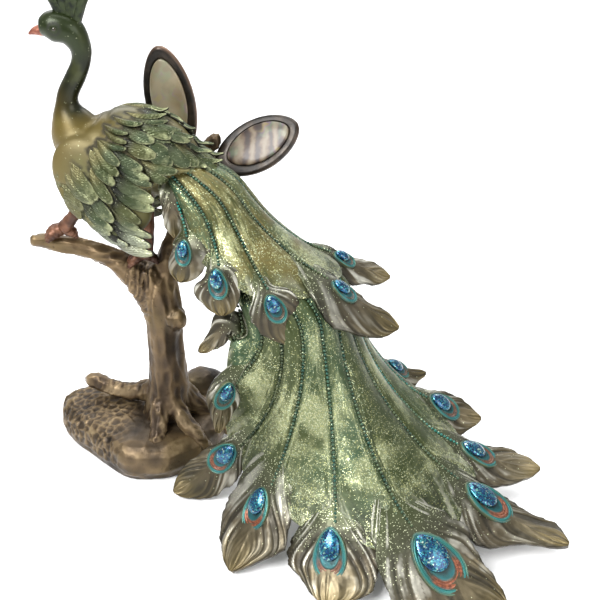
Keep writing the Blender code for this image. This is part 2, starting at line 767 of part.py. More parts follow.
def fuse(base, pieces, cutters, name, home):
    """One casting from base and all pieces, cut flat where it stands on the table."""
    join = base.modifiers.new("join", "BOOLEAN")
    join.operation = "UNION"
    join.operand_type = "COLLECTION"
    join.collection = pieces
    joined = as_solid(base, home)
    outer_shell(joined.data)
    lighter = joined.modifiers.new("lighter", "DECIMATE")
    lighter.ratio = CAST_DETAIL
    joined = as_solid(joined, home)
    side = 3 * FIGURE_HEIGHT
    square = ((-side, -side), (side, -side), (side, side), (-side, side))
    table = prism("table", square, ((-FIGURE_HEIGHT, 1), (0, 1)), Matrix(), cutters)
    flat = joined.modifiers.new("flat", "BOOLEAN")
    flat.operation = "DIFFERENCE"
    flat.object = table
    made = as_solid(joined, home)
    made.name = name
    made.data.materials.clear()
    made.data.materials.append(bpy.data.materials["cast_resin"])
    return made


def main():
    clear_scene()
    material("cast_resin", CAST, 0.45, 0.4)
    material("gem", GEM_BLUE, 0.15, 0.2)
    material("shell", SHELL, 0.25, 0.0)
    parts = collection("peacock_figurine")
    pieces = collection("casting_pieces")
    cutters = collection("cutters")
    rock = add_rock(parts)
    add_tree(pieces)
    add_bird(pieces)
    add_wings(pieces)
    add_legs(pieces)
    tiers = add_train(pieces)
    add_leaves(pieces, cutters, parts)
    for made in pieces.objects:
        made.hide_render = True
        made.display_type = "WIRE"
    fuse(rock, pieces, cutters, "peacock_casting", parts)
    for made in cutters.objects:
        made.hide_render = True
        made.display_type = "WIRE"
    for which, tier in tiers.items():
        for k, plume in enumerate(tier.plumes):
            if plume.gem:
                gem = eye_gem(f"{which}_eye_gem_{k + 1}", tier, k, parts)
                gem.data.materials.append(bpy.data.materials["gem"])


main()
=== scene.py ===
"""Looks of the peacock figurine: painted cold-cast resin with foil gems and shell inlays.

The forms follow the same tables as the part, in units of a 320th of the figurine's height,
and carry the relief and the paint. +Z is up and the bird faces -X.
"""

import itertools
import math
from collections import namedtuple

import bmesh
import bpy
import numpy as np
from mathutils import Matrix, Vector
from mathutils.bvhtree import BVHTree
from mathutils.kdtree import KDTree


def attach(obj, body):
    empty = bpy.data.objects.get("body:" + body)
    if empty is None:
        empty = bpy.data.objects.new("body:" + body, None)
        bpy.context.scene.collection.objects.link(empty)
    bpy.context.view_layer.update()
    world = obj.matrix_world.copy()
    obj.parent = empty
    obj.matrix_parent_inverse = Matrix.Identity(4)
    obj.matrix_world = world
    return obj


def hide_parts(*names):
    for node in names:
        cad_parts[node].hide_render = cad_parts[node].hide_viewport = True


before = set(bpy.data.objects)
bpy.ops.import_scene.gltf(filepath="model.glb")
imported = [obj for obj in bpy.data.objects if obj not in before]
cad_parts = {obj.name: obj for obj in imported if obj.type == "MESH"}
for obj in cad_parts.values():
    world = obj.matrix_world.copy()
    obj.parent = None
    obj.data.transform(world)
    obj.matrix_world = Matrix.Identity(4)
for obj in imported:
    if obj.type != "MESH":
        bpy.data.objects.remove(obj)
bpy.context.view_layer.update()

UNIT = 0.001
PHOTO_WIDTH = 600

# Camera of the photograph
CAMERA_PLACE = (0.09315, -0.54753, 0.43165)
CAMERA_TILT = 60.0
CAMERA_LENS = 60.0
SENSOR = 36.0

# How a plume's half width runs from its root to its tip, as shares of the widest
PLUME_OUTLINE = (0.30, 0.54, 0.77, 0.94, 1.0, 0.99, 0.89, 0.64, 0.24)


def even(width):
    """Half widths of a plume that is the same on its two sides."""
    return tuple(width * share for share in PLUME_OUTLINE)


# A plume ends one line of the train. eye and tip are places in units, lift bends its end up,
# twist turns its face to the near side in degrees, and gem is the gem's length, 0 for none.
# left and right are its half widths at equal steps from its root to its tip.
Plume = namedtuple("Plume", "eye tip lift twist gem left right")

UPPER_PLUMES = (
    Plume(
        (28, -38, 172), (24, -41, 151), 2, 0, 9.5,
        (4, 7, 8, 8, 8.5, 9.5, 10, 8.5, 3), (4, 8, 11.5, 15, 16, 14, 11.5, 7.5, 2.5),
    ),
    Plume(
        (47, -50, 159), (49, -55, 137), 1, 0, 11,
        (4, 6, 6, 9, 15, 17, 16, 10.5, 6), (4, 7, 8.5, 13, 13, 12.5, 11, 9, 5.5),
    ),
    Plume(
        (77, -60, 148), (91, -62, 122), 4, 0, 11,
        (4, 6, 7.5, 13, 15, 14, 11, 6, 2.5), (4, 5, 6, 13, 14.5, 14, 7, 5, 3.5),
    ),
    Plume(
        (115, -40, 145), (151.5, -42, 119), 0, 0, 11,
        (5, 10, 16, 22, 25, 23, 19, 13.5, 4.5), (4, 7, 10, 11, 10, 8, 6.5, 9, 4),
    ),
    Plume(
        (117, 5, 142), (150, 10, 125), 1, 32, 10,
        (4, 7, 10, 13, 15, 14.5, 10.5, 8, 3), (4, 6, 7, 7, 6, 8, 9.5, 10.5, 3.5),
    ),
    Plume((94, 27, 137), (114, 38, 114), 3, 0, 10, even(13), even(13)),
    Plume((68, 30, 150), (72, 40, 125), 2, 0, 10, even(12), even(12)),
    Plume((44, 22, 166), (38, 27, 143), 2, 0, 9.5, even(11), even(11)),
)

LOWER_PLUMES = (
    Plume(
        (52, -52, 127), (33.5, -47, 107.5), 0, 0, 0,
        (4, 7, 9, 11.5, 11, 6, 4, 3, 1.5), (3, 5, 6, 6, 6.5, 7.5, 7, 4.5, 2),
    ),
    Plume(
        (49, -62, 91), (43, -64, 60), 0, 0, 12,
        (4, 6, 7, 9, 10.5, 9.5, 6.5, 4, 1.8), (3, 4, 4.5, 7.5, 10, 11.5, 9, 5.5, 2),
    ),
    Plume(
        (48, -50, 34), (12, -54, 5), 3, 0, 15,
        (5, 7, 8, 8.5, 10.5, 11.5, 12, 10, 4), (5, 8, 10, 12, 16, 17, 17, 11, 4),
    ),
    Plume(
        (70, -90, 28), (53.5, -123, 2.5), 2, 0, 16,
        (10, 17, 21, 24, 26, 26.5, 22.5, 14, 4), (9, 14, 18, 21, 24, 26.5, 24, 12, 4),
    ),
    Plume(
        (111, -122, 24), (108, -148, 2), 0, 0, 18,
        (9, 15, 20, 25, 28, 26, 18, 11, 5), (10, 16, 21, 25, 28, 29, 28, 22, 9),
    ),
    Plume(
        (166, -130, 25), (208, -158, 2.5), 0, 0, 24,
        (12, 20, 26, 31, 34, 33, 27, 18, 7), (11, 18, 24, 29, 29.5, 23, 18.5, 13.5, 7),
    ),
    Plume(
        (201, -85, 27), (251, -114, 15), 3, 0, 20,
        (9, 15, 20, 25, 30, 27, 14, 7, 4), (7, 10, 11, 12, 13.5, 15.5, 15.5, 16, 6),
    ),
    Plume(
        (201, -48, 32), (245.5, -54, 22), 2, 0, 16,
        (5, 8, 11, 17, 20, 20.5, 16, 10, 3.5), (5, 9, 10, 10, 11, 15, 16.5, 12.5, 3.5),
    ),
    Plume(
        (182, -20, 49), (212, -18, 35), 3, 25, 15,
        (5, 10, 17, 21, 22.5, 23, 15, 8, 3), (4, 5, 6.5, 9.5, 13.5, 14.5, 13.5, 9, 3.5),
    ),
    Plume(
        (153, -2, 65), (177, 6, 55), 2, 28, 12,
        (5, 10, 14, 14.5, 14.5, 14, 11, 5.5, 2.5), (4, 6, 6, 5, 4, 4, 3.5, 2.5, 1.5),
    ),
    Plume((120, 11, 81), (135, 29, 62), 2, 0, 12, even(14), even(14)),
    Plume((84, 13, 103), (80, 31, 83), 2, 0, 11, even(13), even(13)),
)

# The fold of coverts that hangs below the wing in front of the upper tier: place and half width
SIDE_FOLD = (
    ((17, -14, 208), 5),
    ((19, -22, 203), 6.5),
    ((20.5, -27, 196), 6.8),
    ((21, -30, 189), 6.4),
    ((21.2, -32, 182), 5),
    ((21.5, -33, 175.5), 1.6),
)

Arch = namedtuple("Arch", "centre across forward tilt heading near far")

UPPER_ARCHES = (
    Arch((18, 0, 206), 20, 14, 80, -2, 100, 100),
    Arch((37, -7, 184), 28, 27, 24, -9, 104, 96),
)
LOWER_ARCHES = (
    Arch((57, -12, 157), 24, 20, 40, -14, 108, 100),
    Arch((89, -27, 127), 38, 36, 6, -28, 114, 106),
)

BIRD_SPINE = (
    ((44, -3, 198), 10),
    ((29, -2, 202), 15.5),
    ((10, 0, 212), 24),
    ((-8, 0, 216), 26.2),
    ((-23, 0, 219), 22),
    ((-34, 0, 226), 17),
    ((-38, 0, 236), 11.3),
    ((-39, 0, 244), 7.0),
    ((-37.5, 0, 251), 6.0),
    ((-32.5, 0, 260), 5.8),
    ((-28.6, 0, 268.5), 5.5),
    ((-28, 0, 277), 6.2),
    ((-33, 0, 286), 8.3),
    ((-42, 0, 288.5), 8.6),
    ((-49, 0, 288), 4.6),
)
CREST = ((-43, 313), (-37.5, 318.5), (-31.5, 320), (-26.5, 317.5), (-22, 311))

LIMBS = {
    "trunk": (
        ((2, 6, 12), 22), ((3, 5, 32), 15), ((6, 2, 56), 13.5), ((6, 0, 80), 11.5),
        ((6, 0, 104), 12), ((3, 0, 124), 13), ((-4, 0, 139), 7),
    ),
    "perch": (
        ((5, 0, 102), 9), ((-7, 0, 131), 10.5), ((-24, 0, 146), 6.8), ((-42, 0, 153), 5.4),
        ((-60, -1, 157), 4.4), ((-68, -2, 158.5), 3.4), ((-71, -2, 159), 1.2),
    ),
    "rear_branch": (
        ((5, 0, 112), 9), ((10, 3, 138), 8), ((19, 13, 161), 6.8), ((28, 27, 182), 6),
        ((33, 37, 198), 5.2), ((40, 34, 209), 5.2), ((40.5, 33, 214), 2.4),
    ),
    "knob": (((4, -1, 92), 5), ((12, -6, 102), 6.6), ((15.5, -9, 109), 6.8), ((16, -10, 114), 2.4)),
    "root_left": (
        ((2, 8, 44), 8), ((-14, 14, 36), 7), ((-32, 20, 33), 6), ((-50, 27, 36), 5.4),
        ((-56, 29, 36), 2),
    ),
    "root_front": (((1, 0, 50), 8), ((0, -16, 31), 6), ((-3, -32, 13), 4.6), ((-4, -36, 6), 2.4)),
    "root_right": (((5, -2, 50), 7), ((14, -12, 36), 5.6), ((28, -21, 20), 4.6), ((34, -24, 10), 3)),
    "root_side": (((6, 6, 48), 9), ((22, 9, 30), 7), ((38, 8, 14), 5), ((44, 7, 6), 3)),
    "left_stem": (((33, 37, 194), 4.8), ((25, 37.5, 205), 3.8), ((18.5, 37.5, 219), 2.2)),
    "right_stem": (((33, 38, 196), 4.6), ((44, 35, 192), 4.0), ((56, 34, 196), 2.6)),
    "boulder": (((8, 22, 14), 12), ((20, 36, 23), 13.5), ((31, 42, 24), 11), ((38, 44, 20), 5)),
}

ROCK_LENGTH, ROCK_WIDTH, ROCK_HEIGHT = 0.118, 0.092, 0.028
ROCK_PLAN = (
    (0.49, 0.0), (0.48, 0.33), (0.35, 0.46), (0.02, 0.47), (-0.22, 0.44), (-0.38, 0.42),
    (-0.50, 0.30), (-0.46, 0.02), (-0.28, -0.22), (-0.06, -0.47), (0.10, -0.50), (0.24, -0.46),
    (0.42, -0.28),
)
ROCK_CENTRE = (-15.5, 6)

LEAVES = (
    ("left", (20.5, 35, 199), (10, 35, 268), (-0.20, -0.93, 0.30), 31),
    ("right", (41, 32, 192.5), (92.5, 33, 219.5), (-0.10, -0.70, 0.70), 34),
)

SHEET_SHARE = 0.962
EYE_AT = 0.42
WING_ANGLES = (8, 14, 26, 38, 46, 54, 62, 68, 76, 86, 96)
WING_REACHES = (84, 66, 56, 55, 61, 66, 64, 56, 43, 34, 27)
TRAIN_FOLD = 1.7
EYE_RISE = 0.0014
GLUE_GAP = 0.0003
GEM_THICKNESS = 0.0030
PLUME_WALL = 0.0032
LEAF_THICKNESS = 0.0065
INLAY_RECESS = 0.0022
INLAY_CROWN = 0.0016
INLAY_LENGTH, INLAY_WIDTH, INLAY_SHIFT = 0.72, 0.70, 0.03
PLATE_LENGTH, PLATE_WIDTH, PLATE_SHIFT = 1.75, 1.3, 0.28
GEM_WIDTH = 0.78
UPPER_WALL, LOWER_WALL = 0.0045, 0.0050
WING_PAD_WALL = 0.0075
FEATHER_WALL = 0.0011
SKIN_VOXEL = 0.0011
PATH_END = 0.99
CREST_FOOT = 289
BIRD_EYE = (-39.6, 7.6, 288.6)
FLOOR_HALF, FLOOR_DROP = 6.0, 0.0002

# Feathers of the wing and back as the photograph shows them, in its pixels:
# root, tip and half width. Each is set on the bird where that line of sight meets it.
FEATHERS = (
    (130, 112, 163, 116.5, 3.2), (117, 117.5, 140, 125, 3.2), (137, 118, 164, 123, 3),
    (153, 120, 177, 131.5, 4.2), (146, 123, 170, 134, 4.4), (161, 128, 186, 141, 4.4),
    (140, 120, 168, 138.2, 4.8), (163, 125, 188.6, 138, 3.6), (185.5, 140, 207, 152, 3),
    (188, 152.5, 219, 162, 3), (127, 128, 152, 140.5, 5.6), (147, 144, 170.5, 163, 7),
    (165, 142, 188.6, 164, 7.5), (178, 145, 196, 164, 6.5), (194, 154, 204, 168, 4.5),
    (125, 140, 153.6, 154.5, 6.2), (145, 161, 175, 171, 4.4), (147, 168, 166.5, 179.3, 5),
    (108, 126, 126, 133.6, 2.6), (108, 132, 125, 142, 2.8), (103.5, 141, 124.5, 148, 2.8),
    (100.5, 143, 119, 162, 5.2), (96.5, 150, 118, 171.6, 5.6), (92.5, 152, 114, 182.5, 5.4),
    (115, 151, 141.4, 167, 5.4), (116, 158, 148.6, 177, 4.8), (120, 169, 150.5, 182, 4.2),
    (114.5, 175, 151, 198, 6.8), (113.5, 186, 152, 207.5, 5.6), (113, 197.5, 138.5, 219.5, 5.4),
    (116, 212, 138, 227, 4.6), (113, 217, 149.5, 233, 5.8), (116, 227, 149.5, 243, 5.4),
    (114, 237.5, 152, 252, 4.8), (93.5, 170, 112, 200, 5.6), (93.5, 194, 113, 218, 6.4),
    (84.5, 202, 112, 227, 6), (88, 215.5, 109.5, 232, 4.8), (74, 165, 97.5, 197, 7),
    (67, 174, 93, 200.5, 5.8), (57, 168, 82.5, 208, 7), (68, 192, 80, 216, 5.4),
    (96, 226, 128, 242, 4.6),
)


# Shapes shared by the pieces

def catmull(values, t):
    values = np.asarray(values, float)
    last = len(values) - 1
    k = min(int(t), last - 1)
    f = t - k
    before = values[k - 1] if k > 0 else 2 * values[0] - values[1]
    after = values[k + 2] if k + 2 <= last else 2 * values[last] - values[last - 1]
    here, there = values[k], values[k + 1]
    return 0.5 * (
        2 * here
        + (there - before) * f
        + (2 * before - 5 * here + 4 * there - after) * f**2
        + (3 * here - before - 3 * there + after) * f**3
    )


def hermite(p0, t0, p1, t1, f):
    return (
        (2 * f**3 - 3 * f**2 + 1) * p0
        + (f**3 - 2 * f**2 + f) * t0
        + (3 * f**2 - 2 * f**3) * p1
        + (f**3 - f**2) * t1
    )


def unit(v):
    return v / np.linalg.norm(v)


def smooth(f):
    f = np.clip(f, 0.0, 1.0)
    return f * f * (3 - 2 * f)


def hash01(i, seed):
    """A repeatable number from 0 to 1 for each row of whole numbers."""
    n = (i[..., 0] * 374761393 + i[..., 1] * 668265263 + i[..., 2] * 1440662683 + seed * 974634777)
    n = n & 0xFFFFFFFF
    n = ((n ^ (n >> 13)) * 1274126177) & 0xFFFFFFFF
    n = ((n ^ (n >> 16)) * 2246822519) & 0xFFFFFFFF
    return ((n ^ (n >> 13)) & 0xFFFFFF) / 0xFFFFFF


def value_noise(p, seed=0):
    """Smooth noise from -1 to 1 at the places p, one cell wide."""
    i = np.floor(p).astype(np.int64)
    f = p - i
    f = f * f * (3 - 2 * f)
    total = np.zeros(p.shape[:-1])
    for corner in itertools.product((0, 1), repeat=3):
        weight = np.ones(p.shape[:-1])
        for axis in range(3):
            weight = weight * (f[..., axis] if corner[axis] else 1 - f[..., axis])
        total += weight * hash01(i + np.array(corner), seed)
    return total * 2 - 1


def fbm(p, octaves=4, seed=0):
    total, size = 0, 1.0
    for k in range(octaves):
        total = total + size * value_noise(p * 2.03**k, seed + k)
        size *= 0.5
    return total / 1.8


def cell_edges(p, seed=0):
    """How far each place is from the border between its two nearest cell centres."""
    i = np.floor(p).astype(np.int64)
    near = np.full(p.shape[:-1], 9.0)
    second = near.copy()
    for corner in itertools.product((-1, 0, 1), repeat=3):
        cell = i + np.array(corner)
        centre = cell + np.stack([hash01(cell, seed + k) for k in range(3)], axis=-1)
        away = np.linalg.norm(p - centre, axis=-1)
        second = np.where(away < near, near, np.minimum(second, away))
        near = np.minimum(near, away)
    return second - near


def resample(grid, count):
    """A grid smoothly refined to count rows."""
    last = len(grid) - 1
    t = np.linspace(0, last, count)
    k = np.minimum(t.astype(int), last - 1)
    f = (t - k).reshape((-1,) + (1,) * (grid.ndim - 1))
    padded = np.concatenate([[2 * grid[0] - grid[1]], grid, [2 * grid[-1] - grid[-2]]])
    p0, p1, p2, p3 = padded[k], padded[k + 1], padded[k + 2], padded[k + 3]
    return 0.5 * (
        2 * p1
        + (p2 - p0) * f
        + (2 * p0 - 5 * p1 + 4 * p2 - p3) * f**2
        + (3 * p1 - p0 - 3 * p2 + p3) * f**3
    )


def refine(grid, rows, columns):
    return resample(resample(grid, rows).swapaxes(0, 1), columns).swapaxes(0, 1)


def grid_normals(grid):
    down = np.gradient(grid, axis=0)
    across = np.gradient(grid, axis=1)
    normal = np.cross(down, across)
    return normal / np.maximum(np.linalg.norm(normal, axis=-1, keepdims=True), 1e-12)


# Mesh making. A shape is (points, faces, values): values holds a number per point for the paint.

def thick_grid(outer, normal, wall, values, step=4):
    """Outer face with a plainer inner face wall below it, closed round its rim."""
    rows, columns = outer.shape[:2]
    index = np.arange(rows * columns).reshape(rows, columns)
    faces = np.stack([index[:-1, :-1], index[1:, :-1], index[1:, 1:], index[:-1, 1:]], -1)
    faces = [tuple(f) for f in faces.reshape(-1, 4).tolist()]
    picked_r = sorted(set(range(0, rows, step)) | {rows - 1})
    picked_c = sorted(set(range(0, columns, step)) | {columns - 1})
    inner = (outer - normal * wall)[np.ix_(picked_r, picked_c)]
    start = rows * columns
    below = start + np.arange(len(picked_r) * len(picked_c)).reshape(len(picked_r), -1)
    for a in range(len(picked_r) - 1):
        for b in range(len(picked_c) - 1):
            faces.append((below[a, b], below[a, b + 1], below[a + 1, b + 1], below[a + 1, b]))
    for a in range(len(picked_r) - 1):
        r0, r1 = picked_r[a], picked_r[a + 1]
        left = [index[r, 0] for r in range(r0, r1 + 1)]
        faces.append(tuple([below[a, 0], below[a + 1, 0]] + left[::-1]))
        right = [index[r, -1] for r in range(r0, r1 + 1)]
        faces.append(tuple([below[a + 1, -1], below[a, -1]] + right))
    for b in range(len(picked_c) - 1):
        c0, c1 = picked_c[b], picked_c[b + 1]
        top = [index[0, c] for c in range(c0, c1 + 1)]
        faces.append(tuple([below[0, b + 1], below[0, b]] + top))
        bottom = [index[-1, c] for c in range(c0, c1 + 1)]
        faces.append(tuple([below[-1, b], below[-1, b + 1]] + bottom[::-1]))
    points = np.concatenate([outer.reshape(-1, 3), inner.reshape(-1, 3)])
    painted = {}
    for name, value in values.items():
        under = value[np.ix_(picked_r, picked_c)].reshape(-1)
        painted[name] = np.concatenate([value.reshape(-1), under])
    return points, [tuple(int(i) for i in f) for f in faces], painted


def merge(shapes):
    points, faces, values, start = [], [], {}, 0
    for p, f, v in shapes:
        points.append(p)
        faces += [tuple(i + start for i in face) for face in f]
        for name, value in v.items():
            values.setdefault(name, []).append(value)
        start += len(p)
    return np.concatenate(points), faces, {k: np.concatenate(v) for k, v in values.items()}


def add_piece(name, shape, paint, node="peacock_casting"):
    """A piece of the scene that stands for a node of the CAD."""
    points, faces, values = shape
    mesh = bpy.data.meshes.new(name)
    mesh.from_pydata(points.tolist(), [], faces)
    for key, value in values.items():
        made = mesh.attributes.new(key, "FLOAT", "POINT")
        made.data.foreach_set("value", np.asarray(value, np.float32))
    mesh.materials.append(paint)
    mesh.shade_smooth()
    mesh.update()
    made = bpy.data.objects.new(name, mesh)
    bpy.context.scene.collection.objects.link(made)
    finish_piece(made, node)


def finish_piece(piece, node):
    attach(piece, "root")
    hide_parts(node)


def tube_grid(route, rows, columns, flat=1.0):
    """Rings along a smoothed route of (place, radius), as a grid in units, with ring directions."""
    table = [(*place, radius) for place, radius in route]
    last = len(table) - 1
    centres = np.array([catmull(table, last * k / (rows - 1)) for k in range(rows)])
    along = np.gradient(centres[:, :3], axis=0)
    along /= np.linalg.norm(along, axis=1, keepdims=True)
    side = np.cross(along[0], (0, 1, 0.01))
    sides = []
    for k in range(rows):
        side = side - along[k] * np.dot(side, along[k])
        side = unit(side)
        sides.append(side)
    sides = np.array(sides)
    others = np.cross(along, sides)
    angle = np.linspace(0, 2 * math.pi, columns, endpoint=False)
    ring = (
        np.cos(angle)[None, :, None] * sides[:, None, :] * flat
        + np.sin(angle)[None, :, None] * others[:, None, :]
    )
    radius = np.maximum(centres[:, 3], 0.15)
    return centres[:, None, :3] + ring * radius[:, None, None], ring, centres[:, :3]


def closed_tube(grid, ends):
    """A tube's grid as points and faces, with a point at each end."""
    rows, columns = grid.shape[:2]
    index = np.arange(rows * columns).reshape(rows, columns)
    turned = np.roll(index, -1, axis=1)
    faces = np.stack([index[:-1], turned[:-1], turned[1:], index[1:]], -1).reshape(-1, 4).tolist()
    first, last = rows * columns, rows * columns + 1
    for k in range(columns):
        j = (k + 1) % columns
        faces.append((first, int(index[0, j]), int(index[0, k])))
        faces.append((last, int(index[-1, k]), int(index[-1, j])))
    points = np.concatenate([grid.reshape(-1, 3), ends])
    return points, [tuple(f) for f in faces]


def limb(route, rows, columns, relief=None, flat=1.0):
    """A limb in metres; relief(along, angle) adds height in units."""
    grid, ring, centres = tube_grid(route, rows, columns, flat)
    if relief is not None:
        s = np.linspace(0, 1, rows)[:, None] * np.ones(columns)
        angle = np.linspace(0, 2 * math.pi, columns, endpoint=False)[None, :] * np.ones((rows, 1))
        grid = grid + ring * relief(s, angle)[..., None]
    points, faces = closed_tube(grid, centres[[0, -1]])
    return points * UNIT, faces, {}


def ellipsoid(place, radii, turn, rows=24, columns=36):
    """A closed ellipsoid in metres, from units."""
    lat = np.linspace(0.04, math.pi - 0.04, rows)[:, None]
    lon = np.linspace(0, 2 * math.pi, columns, endpoint=False)[None, :]
    ring = np.stack(
        [np.sin(lat) * np.cos(lon), np.sin(lat) * np.sin(lon), np.cos(lat) * np.ones_like(lon)], -1
    )
    turn = np.array(turn)[:3, :3]
    grid = (ring * np.array(radii)) @ turn.T + np.array(place, float)
    ends = np.array([(0, 0, radii[2]), (0, 0, -radii[2])]) @ turn.T + np.array(place, float)
    points, faces = closed_tube(grid, ends)
    return points * UNIT, faces, {}


def melted(shapes, voxel, smooth_steps=4):
    """The shapes as one skin, joined in voxels and relaxed: its points, faces and normals."""
    points, faces, _ = merge(shapes)
    mesh = bpy.data.meshes.new("melt")
    mesh.from_pydata(points.tolist(), [], faces)
    made = bpy.data.objects.new("melt", mesh)
    bpy.context.scene.collection.objects.link(made)
    skin = made.modifiers.new("skin", "REMESH")
    skin.mode = "VOXEL"
    skin.voxel_size = voxel
    relax = made.modifiers.new("relax", "SMOOTH")
    relax.factor = 0.5
    relax.iterations = smooth_steps
    bpy.context.view_layer.update()
    evaluated = made.evaluated_get(bpy.context.evaluated_depsgraph_get())
    result = bpy.data.meshes.new_from_object(evaluated)
    count = len(result.vertices)
    points = np.empty(count * 3, np.float32)
    result.vertices.foreach_get("co", points)
    normals = np.empty(count * 3, np.float32)
    result.vertices.foreach_get("normal", normals)
    faces = [tuple(p.vertices) for p in result.polygons]
    bpy.data.objects.remove(made)
    bpy.data.meshes.remove(result)
    return points.reshape(-1, 3).astype(float), faces, normals.reshape(-1, 3).astype(float)


def axes_frame(origin, along, normal):
    x = Vector(along).normalized()
    y = Vector(normal).cross(x).normalized()
    z = x.cross(y)
    return Matrix.Translation(Vector(origin)) @ Matrix((x, y, z)).transposed().to_4x4()


# Paint

def paint(name):
    made = bpy.data.materials.new(name)
    made.use_nodes = True
    return made, Nodes(made.node_tree), made.node_tree.nodes["Principled BSDF"]


class Nodes:
    """Short ways to add and link shader nodes."""

    def __init__(self, tree):
        self.tree = tree
        self.place = self.add("ShaderNodeTexCoord").outputs["Object"]

    def add(self, kind, **settings):
        node = self.tree.nodes.new(kind)
        for key, value in settings.items():
            setattr(node, key, value)
        return node

    def link(self, source, target):
        self.tree.links.new(source, target)

    def value(self, name):
        return self.add("ShaderNodeAttribute", attribute_name=name).outputs["Fac"]

    def noise(self, scale, detail=3, roughness=0.55, place=None, stretch=None):
        node = self.add("ShaderNodeTexNoise")
        node.inputs["Scale"].default_value = scale
        node.inputs["Detail"].default_value = detail
        node.inputs["Roughness"].default_value = roughness
        source = place or self.place
        if stretch:
            shift = self.add("ShaderNodeMapping")
            shift.inputs["Scale"].default_value = stretch
            self.link(source, shift.inputs["Vector"])
            source = shift.outputs["Vector"]
        self.link(source, node.inputs["Vector"])
        return node.outputs["Fac"]

    def cells(self, scale, output="Color", feature="F1"):
        node = self.add("ShaderNodeTexVoronoi", feature=feature)
        node.inputs["Scale"].default_value = scale
        self.link(self.place, node.inputs["Vector"])
        return node.outputs[output]

    def math(self, operation, a, b=None, clamp=False):
        node = self.add("ShaderNodeMath", operation=operation, use_clamp=clamp)
        for socket, given in zip(node.inputs, (a, b)):
            if given is None:
                continue
            if isinstance(given, (int, float)):
                socket.default_value = given
            else:
                self.link(given, socket)
        return node.outputs["Value"]

    def times(self, a, b, clamp=False):
        return self.math("MULTIPLY", a, b, clamp)

    def plus(self, a, b):
        return self.math("ADD", a, b)

    def axes(self):
        """The place's X, Y and Z."""
        node = self.add("ShaderNodeSeparateXYZ")
        self.link(self.place, node.inputs["Vector"])
        return node.outputs

    def span(self, source, low, high, out_low=0.0, out_high=1.0):
        node = self.add("ShaderNodeMapRange", interpolation_type="SMOOTHSTEP")
        self.link(source, node.inputs["Value"])
        for key, given in (
            ("From Min", low), ("From Max", high), ("To Min", out_low), ("To Max", out_high),
        ):
            node.inputs[key].default_value = given
        return node.outputs["Result"]

    def ramp(self, source, stops):
        node = self.add("ShaderNodeValToRGB")
        while len(node.color_ramp.elements) < len(stops):
            node.color_ramp.elements.new(0.5)
        for element, (place, colour) in zip(node.color_ramp.elements, stops):
            element.position = place
            element.color = (*colour, 1)
        self.link(source, node.inputs["Fac"])
        return node.outputs["Color"]

    def mix(self, factor, a, b, blend="MIX"):
        node = self.add("ShaderNodeMix", data_type="RGBA", blend_type=blend)
        for socket, given in zip((node.inputs[0], node.inputs[6], node.inputs[7]), (factor, a, b)):
            if isinstance(given, (int, float)):
                socket.default_value = given
            elif isinstance(given, tuple):
                socket.default_value = (*given, 1)
            else:
                self.link(given, socket)
        return node.outputs[2]

    def bump(self, height, distance, strength=1.0, after=None):
        node = self.add("ShaderNodeBump")
        node.inputs["Strength"].default_value = strength
        node.inputs["Distance"].default_value = distance
        self.link(height, node.inputs["Height"])
        if after is not None:
            self.link(after, node.inputs["Normal"])
        return node.outputs["Normal"]

    def surface(self, shader, colour, metallic, gloss, grain):
        """gloss: a noise's scale and two roughnesses. grain: scale, detail, depth, strength."""
        self.link(colour, shader.inputs["Base Color"])
        shader.inputs["Metallic"].default_value = metallic
        scale, low, high = gloss
        self.link(self.span(self.noise(scale, 3), 0.3, 0.7, low, high), shader.inputs["Roughness"])
        scale, detail, depth, strength = grain
        self.link(self.bump(self.noise(scale, detail), depth, strength), shader.inputs["Normal"])

    def glitter(self, share, scale=1500):
        """1 on scattered flakes and 0 between them, and a number from 0 to 1 for each flake."""
        colour = self.cells(scale)
        split = self.add("ShaderNodeSeparateColor")
        self.link(colour, split.inputs["Color"])
        return self.math("LESS_THAN", split.outputs["Red"], share), split.outputs["Green"]


# Near black, used for patina in hollows and for painted shade in creases and under feathers
PATINA_AND_SHADE = (0.006, 0.006, 0.004)
FLAKE = (0.62, 0.66, 0.42)


